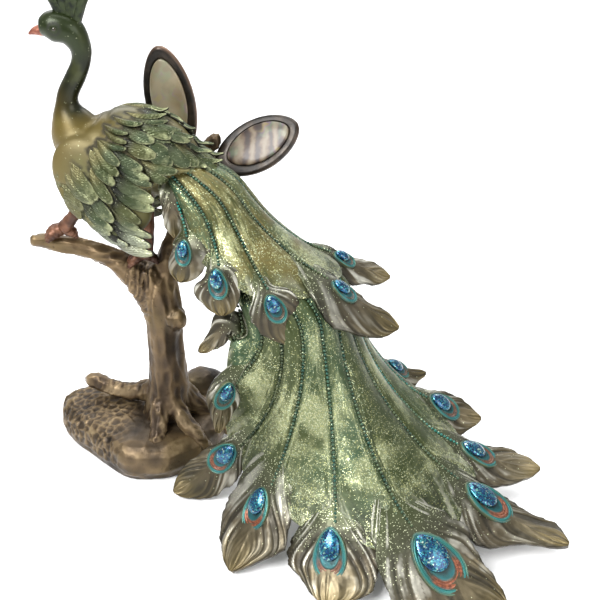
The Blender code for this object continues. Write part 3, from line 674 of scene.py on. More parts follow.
def feather_paint():
    """Wing and back feathers: sage and olive faces, bright edges, dark patina and painted shade in the
    creases, painted shade on covered roots.
    """
    made, n, shader = paint("feather_paint")
    tone = n.value("tone")
    rim = n.value("rim")
    run = n.value("run")
    blotch = n.noise(110, 4)
    face = n.ramp(n.plus(n.times(tone, 0.7), n.times(blotch, 0.5)), (
        (0.10, (0.066, 0.060, 0.018)), (0.40, (0.040, 0.050, 0.014)),
        (0.62, (0.022, 0.036, 0.012)), (0.85, (0.046, 0.060, 0.026)),
    ))
    bright = n.times(n.span(run, 0.50, 0.95), n.span(n.noise(160, 4), 0.44, 0.62))
    face = n.mix(n.times(bright, 0.72), face, (0.300, 0.320, 0.165))
    low_part = n.span(n.axes()["Z"], 0.186, 0.166)
    hem = n.times(low_part, n.span(n.value("barb"), 0.2, 0.8, 0.5, 1.0))
    face = n.mix(n.times(hem, 0.55), face, (0.330, 0.340, 0.270))
    edge = n.times(n.span(rim, 0.26, 0.12), n.span(run, 0.35, 0.75))
    face = n.mix(n.times(edge, 0.50), face, (0.340, 0.350, 0.190))
    soft = n.value("soft")
    firm = n.math("SUBTRACT", 1.0, soft)
    face = n.mix(n.times(soft, 0.85), face, (0.095, 0.090, 0.038))
    # Dark round each feather's edge: patina in the crevice and painted shade where the feathers overlap
    crease = n.span(rim, 0.12, 0.02)
    bare = n.value("bare")
    # Painted shade on roots that other feathers lie over; roots with nothing over them turn gold
    root = n.times(n.span(run, 0.50, 0.18), firm)
    root = n.times(root, n.math("SUBTRACT", 1.0, bare))
    gold = n.times(bare, n.span(run, 0.62, 0.20))
    face = n.mix(n.times(gold, 0.9), face, (0.105, 0.094, 0.036))
    dark = n.math("MAXIMUM", n.times(crease, n.plus(n.times(firm, 0.7), 0.3)), root)
    face = n.mix(n.times(dark, 0.93), face, PATINA_AND_SHADE)
    flake, _ = n.glitter(0.012, 3000)
    face = n.mix(n.times(flake, 0.55), face, FLAKE)
    n.link(face, shader.inputs["Base Color"])
    shader.inputs["Metallic"].default_value = 0.55
    n.link(n.span(n.noise(300, 3), 0.3, 0.7, 0.30, 0.50), shader.inputs["Roughness"])
    barbs = n.value("barb")
    normal = n.bump(barbs, 0.0004, 0.6)
    n.link(n.bump(n.noise(900, 3), 0.00015, 0.5, normal), shader.inputs["Normal"])
    return made


def body_paint():
    """Head and neck in dark glossy green that turns to gold on the breast, satin olive behind, with
    painted shade under the feathers.
    """
    made, n, shader = paint("body_paint")
    place = n.axes()
    wobble = n.times(n.math("SUBTRACT", n.noise(60, 3), 0.5), 0.012)
    height = n.plus(place["Z"], wobble)
    colour = n.ramp(n.span(height, 0.170, 0.300), (
        (0.00, (0.045, 0.056, 0.017)), (0.20, (0.098, 0.088, 0.037)), (0.40, (0.098, 0.080, 0.030)),
        (0.50, (0.085, 0.062, 0.012)), (0.60, (0.010, 0.012, 0.004)), (0.84, (0.005, 0.007, 0.0025)),
        (0.92, (0.014, 0.021, 0.005)),
    ))
    front = n.span(place["X"], -0.030, -0.052)
    gold = n.times(front, n.span(height, 0.265, 0.240))
    colour = n.mix(n.times(gold, 0.50), colour, (0.140, 0.090, 0.014))
    back = n.span(place["X"], -0.030, 0.010)
    colour = n.mix(n.times(back, 0.8), colour, (0.095, 0.082, 0.026))
    colour = n.mix(n.span(n.noise(45, 3), 0.52, 0.72, 0, 0.25), colour, (0.120, 0.130, 0.045))
    flake, _ = n.glitter(0.004, 3000)
    colour = n.mix(n.times(flake, 0.45), colour, FLAKE)
    # crease carries painted shade in the neck crease and under and between the feathers, and the dark
    # ring round the eye
    crease = n.value("crease")
    colour = n.mix(n.times(crease, 0.8), colour, PATINA_AND_SHADE)
    n.link(colour, shader.inputs["Base Color"])
    n.link(n.math("SUBTRACT", 0.35, n.times(crease, 0.35)), shader.inputs["Metallic"])
    shader.inputs["Specular IOR Level"].default_value = 0.35
    gloss = n.span(height, 0.215, 0.250, 0.50, 0.30)
    n.link(n.plus(gloss, n.times(crease, 0.4)), shader.inputs["Roughness"])
    n.link(n.bump(n.noise(700, 3), 0.00008, 0.35), shader.inputs["Normal"])
    return made


def train_paint(name, deep, light, shine):
    """A tier's bands: green and gold under silvery glitter, with painted shade beside the bead rows."""
    made, n, shader = paint(name)
    run = n.value("run")
    band = n.value("band")
    tone = n.value("tone")
    along = n.add("ShaderNodeCombineXYZ")
    n.link(n.times(run, 5.0), along.inputs["X"])
    n.link(n.plus(n.times(band, 2.6), n.times(tone, 40.0)), along.inputs["Y"])
    n.link(n.times(tone, 9.0), along.inputs["Z"])
    streaks = n.noise(1.3, 5, 0.62, along.outputs["Vector"])
    patch = n.plus(n.times(n.noise(26, 4, 0.6), 0.45), n.times(streaks, 0.55))
    base = n.ramp(n.plus(n.times(patch, 0.8), n.times(tone, 0.35)), (
        (0.30, deep), (0.44, (0.030, 0.042, 0.010)), (0.58, light), (0.74, (0.020, 0.050, 0.022)),
    ))
    spread = n.plus(n.times(n.noise(34, 4, 0.62), 0.5), n.times(streaks, 0.5))
    silver = n.times(n.span(spread, 0.46, 0.62), n.span(band, 0.15, 0.75))
    silver = n.times(silver, n.span(run, 0.10, 0.60, 0.35, 1.0))
    base = n.mix(n.times(silver, shine), base, (0.215, 0.230, 0.115))
    base = n.mix(n.span(run, 0.78, 0.97, 0, 0.75), base, (0.045, 0.052, 0.026))
    hem = n.times(n.span(run, 0.78, 0.97), n.span(n.value("barb"), 0.50, 0.75))
    base = n.mix(n.times(hem, 0.55), base, (0.330, 0.330, 0.250))
    # Painted shade in the groove beside each bead row
    groove = n.span(band, 0.36, 0.04)
    base = n.mix(n.times(groove, 0.85), base, (0.010, 0.018, 0.008))
    # Painted shade along the tier's top edge, where it tucks under what lies above
    base = n.mix(n.span(run, 0.05, 0.01, 0, 0.6), base, (0.014, 0.020, 0.009))
    dark = n.times(n.span(run, 0.72, 0.97), n.span(n.value("barb"), 0.35, 0.05))
    base = n.mix(n.times(dark, 0.7), base, PATINA_AND_SHADE)
    more = n.plus(n.times(silver, 0.26), n.span(n.noise(50, 3), 0.35, 0.7, 0.02, 0.12))
    flake, hue = n.glitter(n.times(more, 0.85), 2500)
    base = n.mix(n.times(flake, 0.72), base, n.ramp(hue, (
        (0.0, (0.46, 0.48, 0.16)), (0.5, (0.74, 0.74, 0.42)), (1.0, (0.60, 0.72, 0.50)),
    )))
    n.link(base, shader.inputs["Base Color"])
    shader.inputs["Metallic"].default_value = 0.5
    n.link(n.math("SUBTRACT", 0.42, n.times(flake, 0.20)), shader.inputs["Roughness"])
    grain = n.bump(n.cells(2600, "Distance"), 0.00012, 0.45)
    n.link(n.bump(n.noise(420, 4), 0.00025, 0.5, grain), shader.inputs["Normal"])
    return made


def plume_paint():
    """Leaf-like plume ends: sage at the root, bronze and gold at the tip, silver on the barbs."""
    made, n, shader = paint("plume_paint")
    run = n.value("run")
    edge = n.value("edge")
    barb = n.value("barb")
    tone = n.value("tone")
    sweep = n.plus(run, n.times(n.math("SUBTRACT", n.noise(60, 3), 0.5), 0.25))
    base = n.ramp(sweep, (
        (0.12, (0.050, 0.060, 0.024)), (0.34, (0.050, 0.050, 0.030)), (0.55, (0.062, 0.050, 0.030)),
        (0.78, (0.070, 0.056, 0.028)), (0.98, (0.120, 0.090, 0.034)),
    ))
    streak = n.span(barb, 0.46, 0.62, 0.0, 1.0)
    silver = n.times(n.span(edge, 0.22, 0.62), n.span(n.noise(55, 3), 0.38, 0.56))
    silver = n.times(silver, n.span(run, 0.98, 0.62))
    silver = n.times(silver, n.plus(n.times(tone, 0.7), 0.5), True)
    silver = n.times(silver, streak)
    base = n.mix(silver, base, (0.42, 0.41, 0.35))
    ridge = n.times(n.span(barb, 0.52, 0.75), n.span(run, 0.40, 0.80))
    base = n.mix(n.times(ridge, 0.38), base, (0.215, 0.172, 0.098))
    hollow = n.times(n.span(barb, 0.46, 0.30), n.span(edge, 0.08, 0.40))
    hollow = n.times(hollow, n.span(run, 0.20, 0.45))
    base = n.mix(n.times(hollow, 0.66), base, (0.014, 0.013, 0.009))
    rim = n.times(n.span(edge, 0.90, 0.99), n.span(run, 0.30, 0.50))
    base = n.mix(n.times(rim, 0.6), base, (0.030, 0.026, 0.018))
    flake, _ = n.glitter(n.span(run, 0.60, 0.10, 0.002, 0.06), 2300)
    base = n.mix(n.times(flake, 0.7), base, FLAKE)
    n.link(base, shader.inputs["Base Color"])
    shader.inputs["Metallic"].default_value = 0.6
    n.link(n.span(n.noise(240, 3), 0.3, 0.7, 0.30, 0.48), shader.inputs["Roughness"])
    normal = n.bump(n.value("barb"), 0.0003, 0.45)
    n.link(n.bump(n.noise(700, 3), 0.00012, 0.5, normal), shader.inputs["Normal"])
    return made


def eye_paint():
    """Engraved eye plates: turquoise rings with a copper crescent below the gem."""
    made, n, shader = paint("eye_paint")
    ring = n.value("ring")
    crescent = n.value("crescent")
    streak = n.noise(700, 3)
    base = n.ramp(ring, (
        (0.30, (0.006, 0.016, 0.016)), (0.48, (0.008, 0.070, 0.070)), (0.60, (0.040, 0.038, 0.024)),
        (0.68, (0.060, 0.050, 0.032)), (0.75, (0.010, 0.080, 0.072)), (0.86, (0.016, 0.130, 0.115)),
        (0.975, (0.090, 0.105, 0.055)),
    ))
    base = n.mix(n.span(n.noise(130, 3), 0.45, 0.68, 0, 0.6), base, (0.010, 0.110, 0.130))
    copper = n.ramp(streak, ((0.35, (0.080, 0.022, 0.010)), (0.6, (0.230, 0.072, 0.032))))
    base = n.mix(crescent, base, copper)
    n.surface(shader, base, 0.45, (260, 0.26, 0.42), (1100, 2, 0.00012, 0.5))
    return made


def gem_paint():
    """Foil-backed gems: crushed blue and turquoise foil under a clear dome."""
    made, n, shader = paint("gem_foil")
    scatter = n.add("ShaderNodeSeparateColor")
    n.link(n.cells(1050), scatter.inputs["Color"])
    base = n.ramp(scatter.outputs["Red"], (
        (0.00, (0.001, 0.010, 0.045)), (0.30, (0.002, 0.040, 0.130)), (0.55, (0.006, 0.110, 0.210)),
        (0.76, (0.020, 0.210, 0.240)), (0.92, (0.090, 0.330, 0.300)), (0.985, (0.420, 0.560, 0.440)),
    ))
    wide = n.span(n.noise(130, 3), 0.40, 0.65)
    base = n.mix(n.times(wide, 0.35), base, (0.006, 0.100, 0.230))
    lines = n.span(n.cells(1050, "Distance", "DISTANCE_TO_EDGE"), 0.0, 0.12)
    base = n.mix(n.span(lines, 1.0, 0.0, 0.0, 0.8), base, (0.001, 0.006, 0.030))
    n.link(base, shader.inputs["Base Color"])
    shader.inputs["Metallic"].default_value = 0.75
    shader.inputs["Coat Weight"].default_value = 0.6
    shader.inputs["Coat Roughness"].default_value = 0.10
    n.link(n.span(scatter.outputs["Green"], 0, 1, 0.14, 0.42), shader.inputs["Roughness"])
    n.link(n.bump(scatter.outputs["Blue"], 0.0003, 0.7), shader.inputs["Normal"])
    return made


def bead_paint():
    """Bead rows: dark patinated green with teal worn through."""
    made, n, shader = paint("bead_paint")
    teal = n.value("teal")
    base = n.mix(n.span(n.noise(120, 3), 0.4, 0.65), (0.022, 0.038, 0.020), (0.080, 0.095, 0.040))
    base = n.mix(teal, base, (0.012, 0.180, 0.150))
    flake, _ = n.glitter(0.05)
    base = n.mix(n.times(flake, 0.6), base, FLAKE)
    n.link(base, shader.inputs["Base Color"])
    shader.inputs["Metallic"].default_value = 0.5
    shader.inputs["Roughness"].default_value = 0.36
    n.link(n.bump(n.noise(1200, 2), 0.0001, 0.5), shader.inputs["Normal"])
    return made


def wood_paint(name, low, middle, high):
    """Tree and rock: brown patina in the hollows and bronze gold rubbed on the ridges."""
    made, n, shader = paint(name)
    rub = n.value("ridge")
    wide = n.noise(38, 4)
    base = n.ramp(n.plus(n.times(rub, 0.75), n.times(wide, 0.3)), (
        (0.20, low), (0.44, middle), (0.68, (0.125, 0.082, 0.040)), (0.92, high),
    ))
    rubbed = n.times(n.span(n.axes()["Z"], 0.055, 0.035), n.span(rub, 0.45, 0.75))
    base = n.mix(n.times(rubbed, 0.5), base, (0.200, 0.150, 0.085))
    olive = n.span(n.noise(22, 3), 0.50, 0.66, 0, 0.35)
    base = n.mix(olive, base, (0.120, 0.088, 0.030))
    base = n.mix(n.span(n.noise(420, 3), 0.62, 0.72, 0, 0.55), base, (0.020, 0.014, 0.008))
    n.surface(shader, base, 0.62, (180, 0.34, 0.52), (520, 5, 0.0004, 0.55))
    return made


def simple_paint(name, dark, light, scale, metallic, roughness, depth):
    made, n, shader = paint(name)
    base = n.mix(n.span(n.noise(scale, 4), 0.38, 0.64), dark, light)
    gloss = (scale * 3, roughness - 0.06, roughness + 0.08)
    n.surface(shader, base, metallic, gloss, (scale * 6, 3, depth, 0.5))
    return made


def shell_paint(name, stops, bands):
    """Mother of pearl: soft banded colour under a clear polish."""
    made, n, shader = paint(name)
    wave = n.add("ShaderNodeTexWave", wave_type="BANDS", bands_direction="X")
    wave.inputs["Scale"].default_value = bands
    wave.inputs["Distortion"].default_value = 5.0
    wave.inputs["Detail"].default_value = 3.0
    wave.inputs["Detail Scale"].default_value = 2.0
    n.link(n.place, wave.inputs["Vector"])
    blend = n.plus(n.times(wave.outputs["Fac"], 0.6), n.times(n.noise(70, 4), 0.5))
    base = n.ramp(blend, stops)
    sheen = n.ramp(n.noise(95, 2), (
        (0.40, (0.12, 0.10, 0.07)), (0.50, (0.12, 0.19, 0.11)), (0.58, (0.17, 0.11, 0.18)),
        (0.66, (0.24, 0.20, 0.06)),
    ))
    base = n.mix(n.span(n.noise(60, 3), 0.50, 0.64, 0, 0.4), base, sheen)
    n.link(base, shader.inputs["Base Color"])
    shader.inputs["Metallic"].default_value = 0.15
    shader.inputs["Roughness"].default_value = 0.45
    shader.inputs["Coat Weight"].default_value = 0.25
    shader.inputs["Coat Roughness"].default_value = 0.12
    n.link(n.bump(n.noise(160, 3), 0.0002, 0.3), shader.inputs["Normal"])
    return made


# The train

def arch_point(arch, u):
    angle = math.radians(-arch.near + (u + 1) / 2 * (arch.near + arch.far))
    tilt, heading = math.radians(arch.tilt), math.radians(arch.heading)
    forward = np.array(
        (math.cos(tilt) * math.cos(heading), math.cos(tilt) * math.sin(heading), math.sin(tilt))
    )
    across = np.array((-math.sin(heading), math.cos(heading), 0))
    return (
        np.array(arch.centre, float)
        + across * arch.across * math.sin(angle)
        + forward * arch.forward * math.cos(angle)
    )


class Tier:
    """One tier of the train: quills run from two arches to the eyes of its plumes."""

    def __init__(self, plumes, arches, steep):
        self.plumes = plumes
        self.arches = arches
        self.steep = steep
        self.eyes = np.array([p.eye for p in plumes], float)
        self.tips = np.array([p.tip for p in plumes], float)
        self.roots = [self.root(k) for k in range(len(plumes))]

    def place(self, index):
        return index / (len(self.plumes) - 1) * 2 - 1

    def quill(self, u, v):
        place = (u + 1) / 2 * (len(self.plumes) - 1)
        start = arch_point(self.arches[0], u)
        middle = arch_point(self.arches[1], u)
        eye, tip = catmull(self.eyes, place), catmull(self.tips, place)
        chord = np.linalg.norm(eye - middle)
        down = unit(unit(middle - start) * (1 - self.steep) + np.array((0, 0, -self.steep)))
        split = 0.35
        if v < split:
            first = middle - start
            return hermite(start, first, middle, down * np.linalg.norm(first), v / split)
        out = unit(unit(tip - eye) + 0.6 * unit(eye - middle))
        return hermite(middle, down * chord, eye, out * chord, (v - split) / (1 - split))

    def root(self, index):
        plume = self.plumes[index]
        u = self.place(index)
        wanted = math.dist(plume.eye, plume.tip) * EYE_AT / (1 - EYE_AT)
        v, run, here = 1.0, 0.0, self.quill(u, 1.0)
        while run < wanted and v > 0.1:
            v -= 0.02
            there = self.quill(u, v)
            run += math.dist(here, there)
            here = there
        return v

    def frame(self, u, v):
        step = 0.01
        point = self.quill(u, v)
        along = unit(self.quill(u, v + step) - self.quill(u, v - step))
        low, high = max(u - step, -1), min(u + step, 1)
        across = self.quill(high, v) - self.quill(low, v)
        return point, along, unit(np.cross(along, across))


def plume_path(tier, index, f):
    plume = tier.plumes[index]
    u = tier.place(index)
    point, along, normal = tier.frame(u, 1.0)
    turn = math.radians(plume.twist) * smooth(f / EYE_AT)
    if f < EYE_AT:
        root = tier.roots[index]
        point, ahead, normal = tier.frame(u, root + (1 - root) * f / EYE_AT)
        return point, normal * math.cos(turn) + np.cross(ahead, normal) * math.sin(turn)
    normal = normal * math.cos(turn) + np.cross(along, normal) * math.sin(turn)
    eye, tip = np.array(plume.eye, float), np.array(plume.tip, float)
    span = np.linalg.norm(tip - eye)
    g = (f - EYE_AT) / (1 - EYE_AT)
    finish = unit(tip - eye) + np.array((0, 0, 0.10 * plume.lift))
    return hermite(eye, along * span, tip, finish * span, g), normal


def plume_grid(tier, index, rows, columns):
    """Centre face of a plume in units with its normals, widths along it and shares across it."""
    plume = tier.plumes[index]
    t = np.linspace(-1, 1, columns)
    grid = []
    for k in range(rows):
        s = k / (rows - 1)
        f = s * PATH_END
        point, normal = plume_path(tier, index, f)
        ahead, _ = plume_path(tier, index, f + 0.01)
        along = unit(ahead - point)
        across = unit(np.cross(normal, along))
        rise = np.cross(along, across)
        left, right = (float(catmull(side, s * 8)) for side in (plume.left, plume.right))
        half = left * (1 - smooth(t * 2 + 0.5)) + right * smooth(t * 2 + 0.5)
        lap = lap_at(s)
        bow = -0.16 * half * t**2
        grid.append(point + np.outer(half * t, across) + np.outer(bow + lap, rise))
    return np.array(grid)


def lap_at(s):
    """How far a plume stands over its sheet, in units, at the share s of its length."""
    return 2.6 * smooth(s / 0.35) - 0.6


def eye_frame(tier, index):
    point, normal = plume_path(tier, index, EYE_AT)
    ahead, _ = plume_path(tier, index, EYE_AT + 0.02)
    lap = lap_at(EYE_AT / PATH_END)
    along = unit(ahead - point)
    rise = np.cross(along, unit(np.cross(normal, along)))
    return axes_frame((point + rise * lap) * UNIT, ahead - point, normal)


def sheet_shape(tier, wall, per_band, rows, fold):
    bands = len(tier.plumes) - 1
    us = np.linspace(-1, 1, bands * 4 + 1)
    vs = np.linspace(0, 1, 37)
    coarse = np.array([[tier.quill(u * SHEET_SHARE, max(v, 0.01)) for u in us] for v in vs])
    columns = bands * per_band + 1
    fine = refine(coarse, 400, columns)
    u = np.linspace(0, 1, columns)
    between = np.abs(np.sin(math.pi * u * bands))
    reach = 0.915 + 0.07 * between
    v = np.linspace(0, 1, rows)[:, None] * reach[None, :]
    spot = v * (len(fine) - 1)
    k = np.minimum(spot.astype(int), len(fine) - 2)
    f = (spot - k)[..., None]
    column = np.arange(columns)[None, :].repeat(rows, 0)
    grid = fine[k, column] * (1 - f) + fine[k + 1, column] * f
    normal = grid_normals(grid)
    run = v * np.ones_like(grid[..., 0])
    band = between[None, :] * np.ones_like(run)
    swell = fold * (band**0.75 - 0.6) * np.sin(math.pi * np.minimum(run * 0.9 + 0.1, 1))
    length = np.cumsum(np.linalg.norm(np.diff(grid, axis=0, prepend=grid[:1]), axis=-1), axis=0)
    cross = (u * bands) % 1.0
    away = np.minimum(cross, 1 - cross)[None, :] * np.ones_like(run)
    width = np.linalg.norm(np.gradient(grid, axis=1), axis=-1) * per_band
    lean = length - 2.0 * away * width
    lock = fbm(np.stack([lean * 0.16, away * width * 0.03, np.full_like(run, 3)], -1), 2, 5)
    strand = fbm(np.stack([lean * 0.42, away * width * 0.05, np.full_like(run, 7)], -1), 2, 6)
    barb = np.clip(0.5 + 0.9 * lock, 0, 1)
    fine_barb = np.clip(0.5 + 0.9 * strand, 0, 1)
    deep = smooth((run - 0.70) / 0.26)
    height = swell + deep * (barb * 0.65 + fine_barb * 0.35 - 0.5) * 1.1
    height += 0.35 * fbm(grid * np.array((0.10, 0.10, 0.05)), 3, 9)
    height -= 0.5 * np.exp(-((away * width / 1.3) ** 2))
    grid = grid + normal * height[..., None]
    tone = hash01(
        np.stack([(u * bands).astype(np.int64), np.zeros(columns, int), np.full(columns, 3)], -1), 7
    )
    values = {
        "run": run,
        "band": np.minimum(away * width / 7.0, 1.0),
        "barb": barb * 0.7 + fine_barb * 0.3,
        "tone": tone[None, :] * np.ones_like(run),
    }
    return thick_grid(grid * UNIT, normal, wall, values, 6)


def shares(rows, columns):
    """Shares from 0 to 1 along a plume and from -1 to 1 across it, at each point of its grid."""
    along = np.linspace(0, 1, rows)[:, None] * np.ones((1, columns))
    across = np.linspace(-1, 1, columns)[None, :] * np.ones((rows, 1))
    return along, across


def barbed(grid, s, t, length, width, eye, seed, tone):
    """A plume's face with its barbs, from a smooth grid in units: s runs along it and t across it."""
    normal = grid_normals(grid)
    across = width * np.abs(t)
    rough = fbm(grid * 0.05, 3, seed)
    lean = s * length - 1.3 * across - 0.4 * across**2 / max(width, 1)
    lock = fbm(np.stack([lean * 0.14, across * 0.03, s * 0 + seed], -1), 2, seed + 5)
    strand = fbm(np.stack([lean * 0.34, across * 0.05, s * 0 + seed], -1), 1, seed + 6)
    barb = np.clip(0.5 + 0.75 * lock + 0.30 * rough, 0, 1)
    fine_barb = np.clip(0.5 + 0.9 * strand, 0, 1)
    deep = smooth((np.abs(t) - 0.05) / 0.45) * smooth((s - 0.22) / 0.2)
    around = np.exp(-(((s - eye - 0.04) / 0.17) ** 2)) * np.exp(-((t / 0.6) ** 2)) * (eye > 0)
    deep = deep * (1 - 0.85 * around)
    height = deep * (barb * 0.9 + fine_barb * 0.7 - 0.8) * 1.5
    height += 0.45 * np.exp(-((t / 0.04) ** 2)) * smooth((s - 0.62) / 0.1)
    height += 0.7 * fbm(grid * 0.10, 3, seed + 20)
    ragged = fbm(np.stack([lean * 0.22, t * 0.6 + 3, s * 0 + seed], -1), 3, seed)
    fray = 1 + (0.10 * ragged - 0.03) * smooth((np.abs(t) - 0.6) / 0.4)
    middle = grid[:, grid.shape[1] // 2][:, None, :]
    taper = np.sqrt(np.clip(1 - ((s - 0.90) / 0.105) ** 2, 0.02, 1)) * (s > 0.90) + (s <= 0.90)
    grid = middle + (grid - middle) * (fray * taper)[..., None]
    grid = grid + normal * height[..., None]
    grid[..., 2] = np.maximum(grid[..., 2], 0.3)
    values = {
        "run": s,
        "edge": np.abs(t),
        "barb": barb * 0.5 + fine_barb * 0.5,
        "tone": np.full_like(s, tone),
    }
    points, faces, painted = thick_grid(grid * UNIT, normal, PLUME_WALL * 0.9, values, 5)
    points[:, 2] = np.maximum(points[:, 2], 0.0)
    return points, faces, painted


def plume_shape(tier, index, seed):
    plume = tier.plumes[index]
    rows, columns = 128, 57
    grid = refine(plume_grid(tier, index, 22, 9), rows, columns)
    s, t = shares(rows, columns)
    length = math.dist(plume.eye, plume.tip) / (1 - EYE_AT)
    width = 0.5 * (max(plume.left) + max(plume.right))
    tone = hash01(np.array([index, seed, 1]), 3)
    return barbed(grid, s, t, length, width, EYE_AT if plume.gem else 0.0, seed, tone)


def side_fold_shape():
    """The fold of coverts that hangs below the wing in front of the upper tier."""
    rows, columns = 80, 31
    table = [(*place, half) for place, half in SIDE_FOLD]
    t = np.linspace(-1, 1, 9)
    coarse = []
    for k in range(16):
        x, y, z, half = catmull(table, k / 15 * (len(table) - 1))
        row = [(x + half * side, y + 0.35 * half * side + 1.5 * side**2, z) for side in t]
        coarse.append(row)
    grid = refine(np.array(coarse), rows, columns)
    s, t = shares(rows, columns)
    return barbed(grid, s, t, 36, 7.5, 0.0, 77, 0.9)


def teardrop_ring(length, width, count):
    angle = 2 * math.pi * np.arange(count) / count
    x = -0.5 * length * np.cos(angle)
    y = -0.5 * width * np.sin(angle) * (0.62 + 0.38 * np.abs(np.sin(angle / 2)) ** 1.2)
    return np.stack([x, y], -1), angle


def dome(place, length, width, profile, count):
    """A teardrop stack of (share, height): share of the outline and height in metres."""
    ring, angle = teardrop_ring(length, width, count)
    rings = [ring * share for share, _ in profile]
    points, faces = stack_shape(place, rings, [height for _, height in profile])
    return points, faces, angle


def eye_plate_shape(tier, index, copper):
    plume = tier.plumes[index]
    place = eye_frame(tier, index) @ Matrix.Translation((plume.gem * PLATE_SHIFT * UNIT, 0, 0))
    rise = EYE_RISE
    profile = [(0.99, -PLUME_WALL * 0.5), (0.985, rise * 0.2), (0.965, rise * 0.8)]
    for share in np.linspace(0.95, 0.05, 34):
        groove = sum(math.exp(-(((share - at) / 0.018) ** 2)) for at in (0.90, 0.78, 0.66, 0.56))
        profile.append((float(share), rise * (1.0 - 0.38 * groove)))
    count = 72
    points, faces, angle = dome(
        place, plume.gem * PLATE_LENGTH * UNIT, plume.gem * PLATE_WIDTH * UNIT, profile, count
    )
    share = np.array([p[0] for p in profile])[:, None] * np.ones((1, count))
    toward = -np.cos(angle)[None, :] * np.ones_like(share)
    crescent = smooth((toward - 0.15) / 0.35) * smooth((0.80 - share) / 0.05)
    crescent = crescent * smooth((share - 0.50) / 0.08)
    values = {
        "ring": np.concatenate([share.reshape(-1), [1.0, 0.0]]),
        "crescent": np.concatenate([crescent.reshape(-1) * copper, [0.0, 0.0]]),
    }
    return points, faces, values


def gem_shape(tier, index):
    plume = tier.plumes[index]
    seat = EYE_RISE + GLUE_GAP
    profile = [(0.97, seat)]
    for k in range(1, 13):
        f = k / 12 * 0.97
        turn = f * math.pi / 2
        profile.append((math.cos(turn), seat + GEM_THICKNESS * (0.25 + 0.75 * math.sin(turn))))
    points, faces, _ = dome(
        eye_frame(tier, index), plume.gem * UNIT, plume.gem * GEM_WIDTH * UNIT, profile, 40
    )
    return points, faces, {}


def bead_template():
    mesh = bmesh.new()
    bmesh.ops.create_icosphere(mesh, subdivisions=1, radius=1)
    points = np.array([v.co for v in mesh.verts])
    faces = [tuple(v.index for v in f.verts) for f in mesh.faces]
    mesh.free()
    return points, faces


def bead_shapes(tier, radius, pitch, teal_rows, fold):
    """Rows of beads along the quills, from the arch to each eye."""
    points, faces = bead_template()
    shapes = []
    count = len(tier.plumes)
    for k in range(count):
        u = tier.place(k) * SHEET_SHARE
        plume = tier.plumes[k]
        last = 1.0 if plume.gem else 0.9
        samples = [tier.frame(u, v) for v in np.linspace(0.04, last, 60)]
        path = np.array([p for p, _, _ in samples])
        normals = np.array([n for _, _, n in samples])
        run = np.concatenate([[0], np.cumsum(np.linalg.norm(np.diff(path, axis=0), axis=1))])
        stop = run[-1] - plume.gem * 0.75
        for m, at in enumerate(np.arange(0, stop, pitch)):
            place = np.array([np.interp(at, run, path[:, c]) for c in range(3)])
            normal = unit(np.array([np.interp(at, run, normals[:, c]) for c in range(3)]))
            v = at / run[-1]
            root = tier.roots[k]
            lap = lap_at((v - root) / max(1 - root, 0.01) * EYE_AT)
            ride = max(-0.6 * fold * math.sin(math.pi * min(v * 0.9 + 0.1, 1)) - 0.2, -1.2)
            height = ride if v < root + 0.02 else max(lap, ride)
            size = radius * (0.85 + 0.3 * hash01(np.array([k, m, 2]), 5))
            shaded = teal_rows[k] * (0.5 + 0.5 * value_noise(np.array((at * 0.08, k * 3.1, 0.5)), 4))
            centre = place + normal * (height + 0.25)
            values = {"teal": np.full(len(points), float(shaded))}
            shapes.append(((points * size + centre) * UNIT, faces, values))
    return shapes


# The bird

def spine_at(t):
    return catmull([(*place, radius) for place, radius in BIRD_SPINE], t)


def wing_reach(angle):
    return float(np.interp(angle, WING_ANGLES, WING_REACHES))


def wing_point(distance, angle, side):
    turn = math.radians(angle)
    x = -42 + distance * math.cos(turn)
    z = 224 - distance * math.sin(turn)
    out = 12.5 + 16.5 * (1 - math.exp(-distance / 17))
    out -= 10 * smooth((distance - 55) / 40) * (1 - smooth((angle - 10) / 25))
    return np.array((x, side * out, z))


def wing_pad(side):
    """The wing's bulk under its feathers, from the shoulder to near their tips."""
    steps = np.linspace(0.02, 0.93, 16)
    angles = np.linspace(9, 96, 20)
    grid = np.array([[wing_point(wing_reach(a) * d, a, side) for a in angles] for d in steps])
    grid[..., 1] -= side * 2.2
    normal = np.zeros_like(grid)
    normal[..., 1] = side
    if side < 0:
        return thick_grid(grid * UNIT, normal, WING_PAD_WALL, {}, 1)
    return thick_grid(grid[:, ::-1] * UNIT, normal, WING_PAD_WALL, {}, 1)


def bird_shapes():
    shapes = [limb(BIRD_SPINE, 90, 40)]
    for side in (-1, 1):
        turn = axes_frame((0, 0, 0), (50, side * 8, -58), (0, side, 0))
        shapes.append(ellipsoid((-20, side * 18, 201), (34, 24, 9.5), turn))
        shapes.append(wing_pad(side))
    return shapes


class Photo:
    """The photograph's line of sight through each of its pixels."""

    def __init__(self):
        tilt = math.radians(CAMERA_TILT)
        self.origin = np.array(CAMERA_PLACE)
        self.right = np.array((1.0, 0, 0))
        self.up = np.array((0, math.cos(tilt), math.sin(tilt)))
        self.ahead = np.array((0, math.sin(tilt), -math.cos(tilt)))
        self.scale = SENSOR / CAMERA_LENS / PHOTO_WIDTH

    def ray(self, x, y):
        half = PHOTO_WIDTH / 2
        return unit(
            self.ahead + self.right * (x - half) * self.scale - self.up * (y - half) * self.scale
        )

    def at_depth(self, x, y, plane_y):
        ray = self.ray(x, y)
        return self.origin + ray * (plane_y - self.origin[1]) / ray[1]


# Where along a feather, and its half width there as a share of the widest
FEATHER_OUTLINE = (
    (0, 0.15, 0.35, 0.6, 0.8, 0.9, 0.96, 1.0), (0.45, 0.66, 0.88, 1.0, 0.84, 0.60, 0.38, 0.12),
)


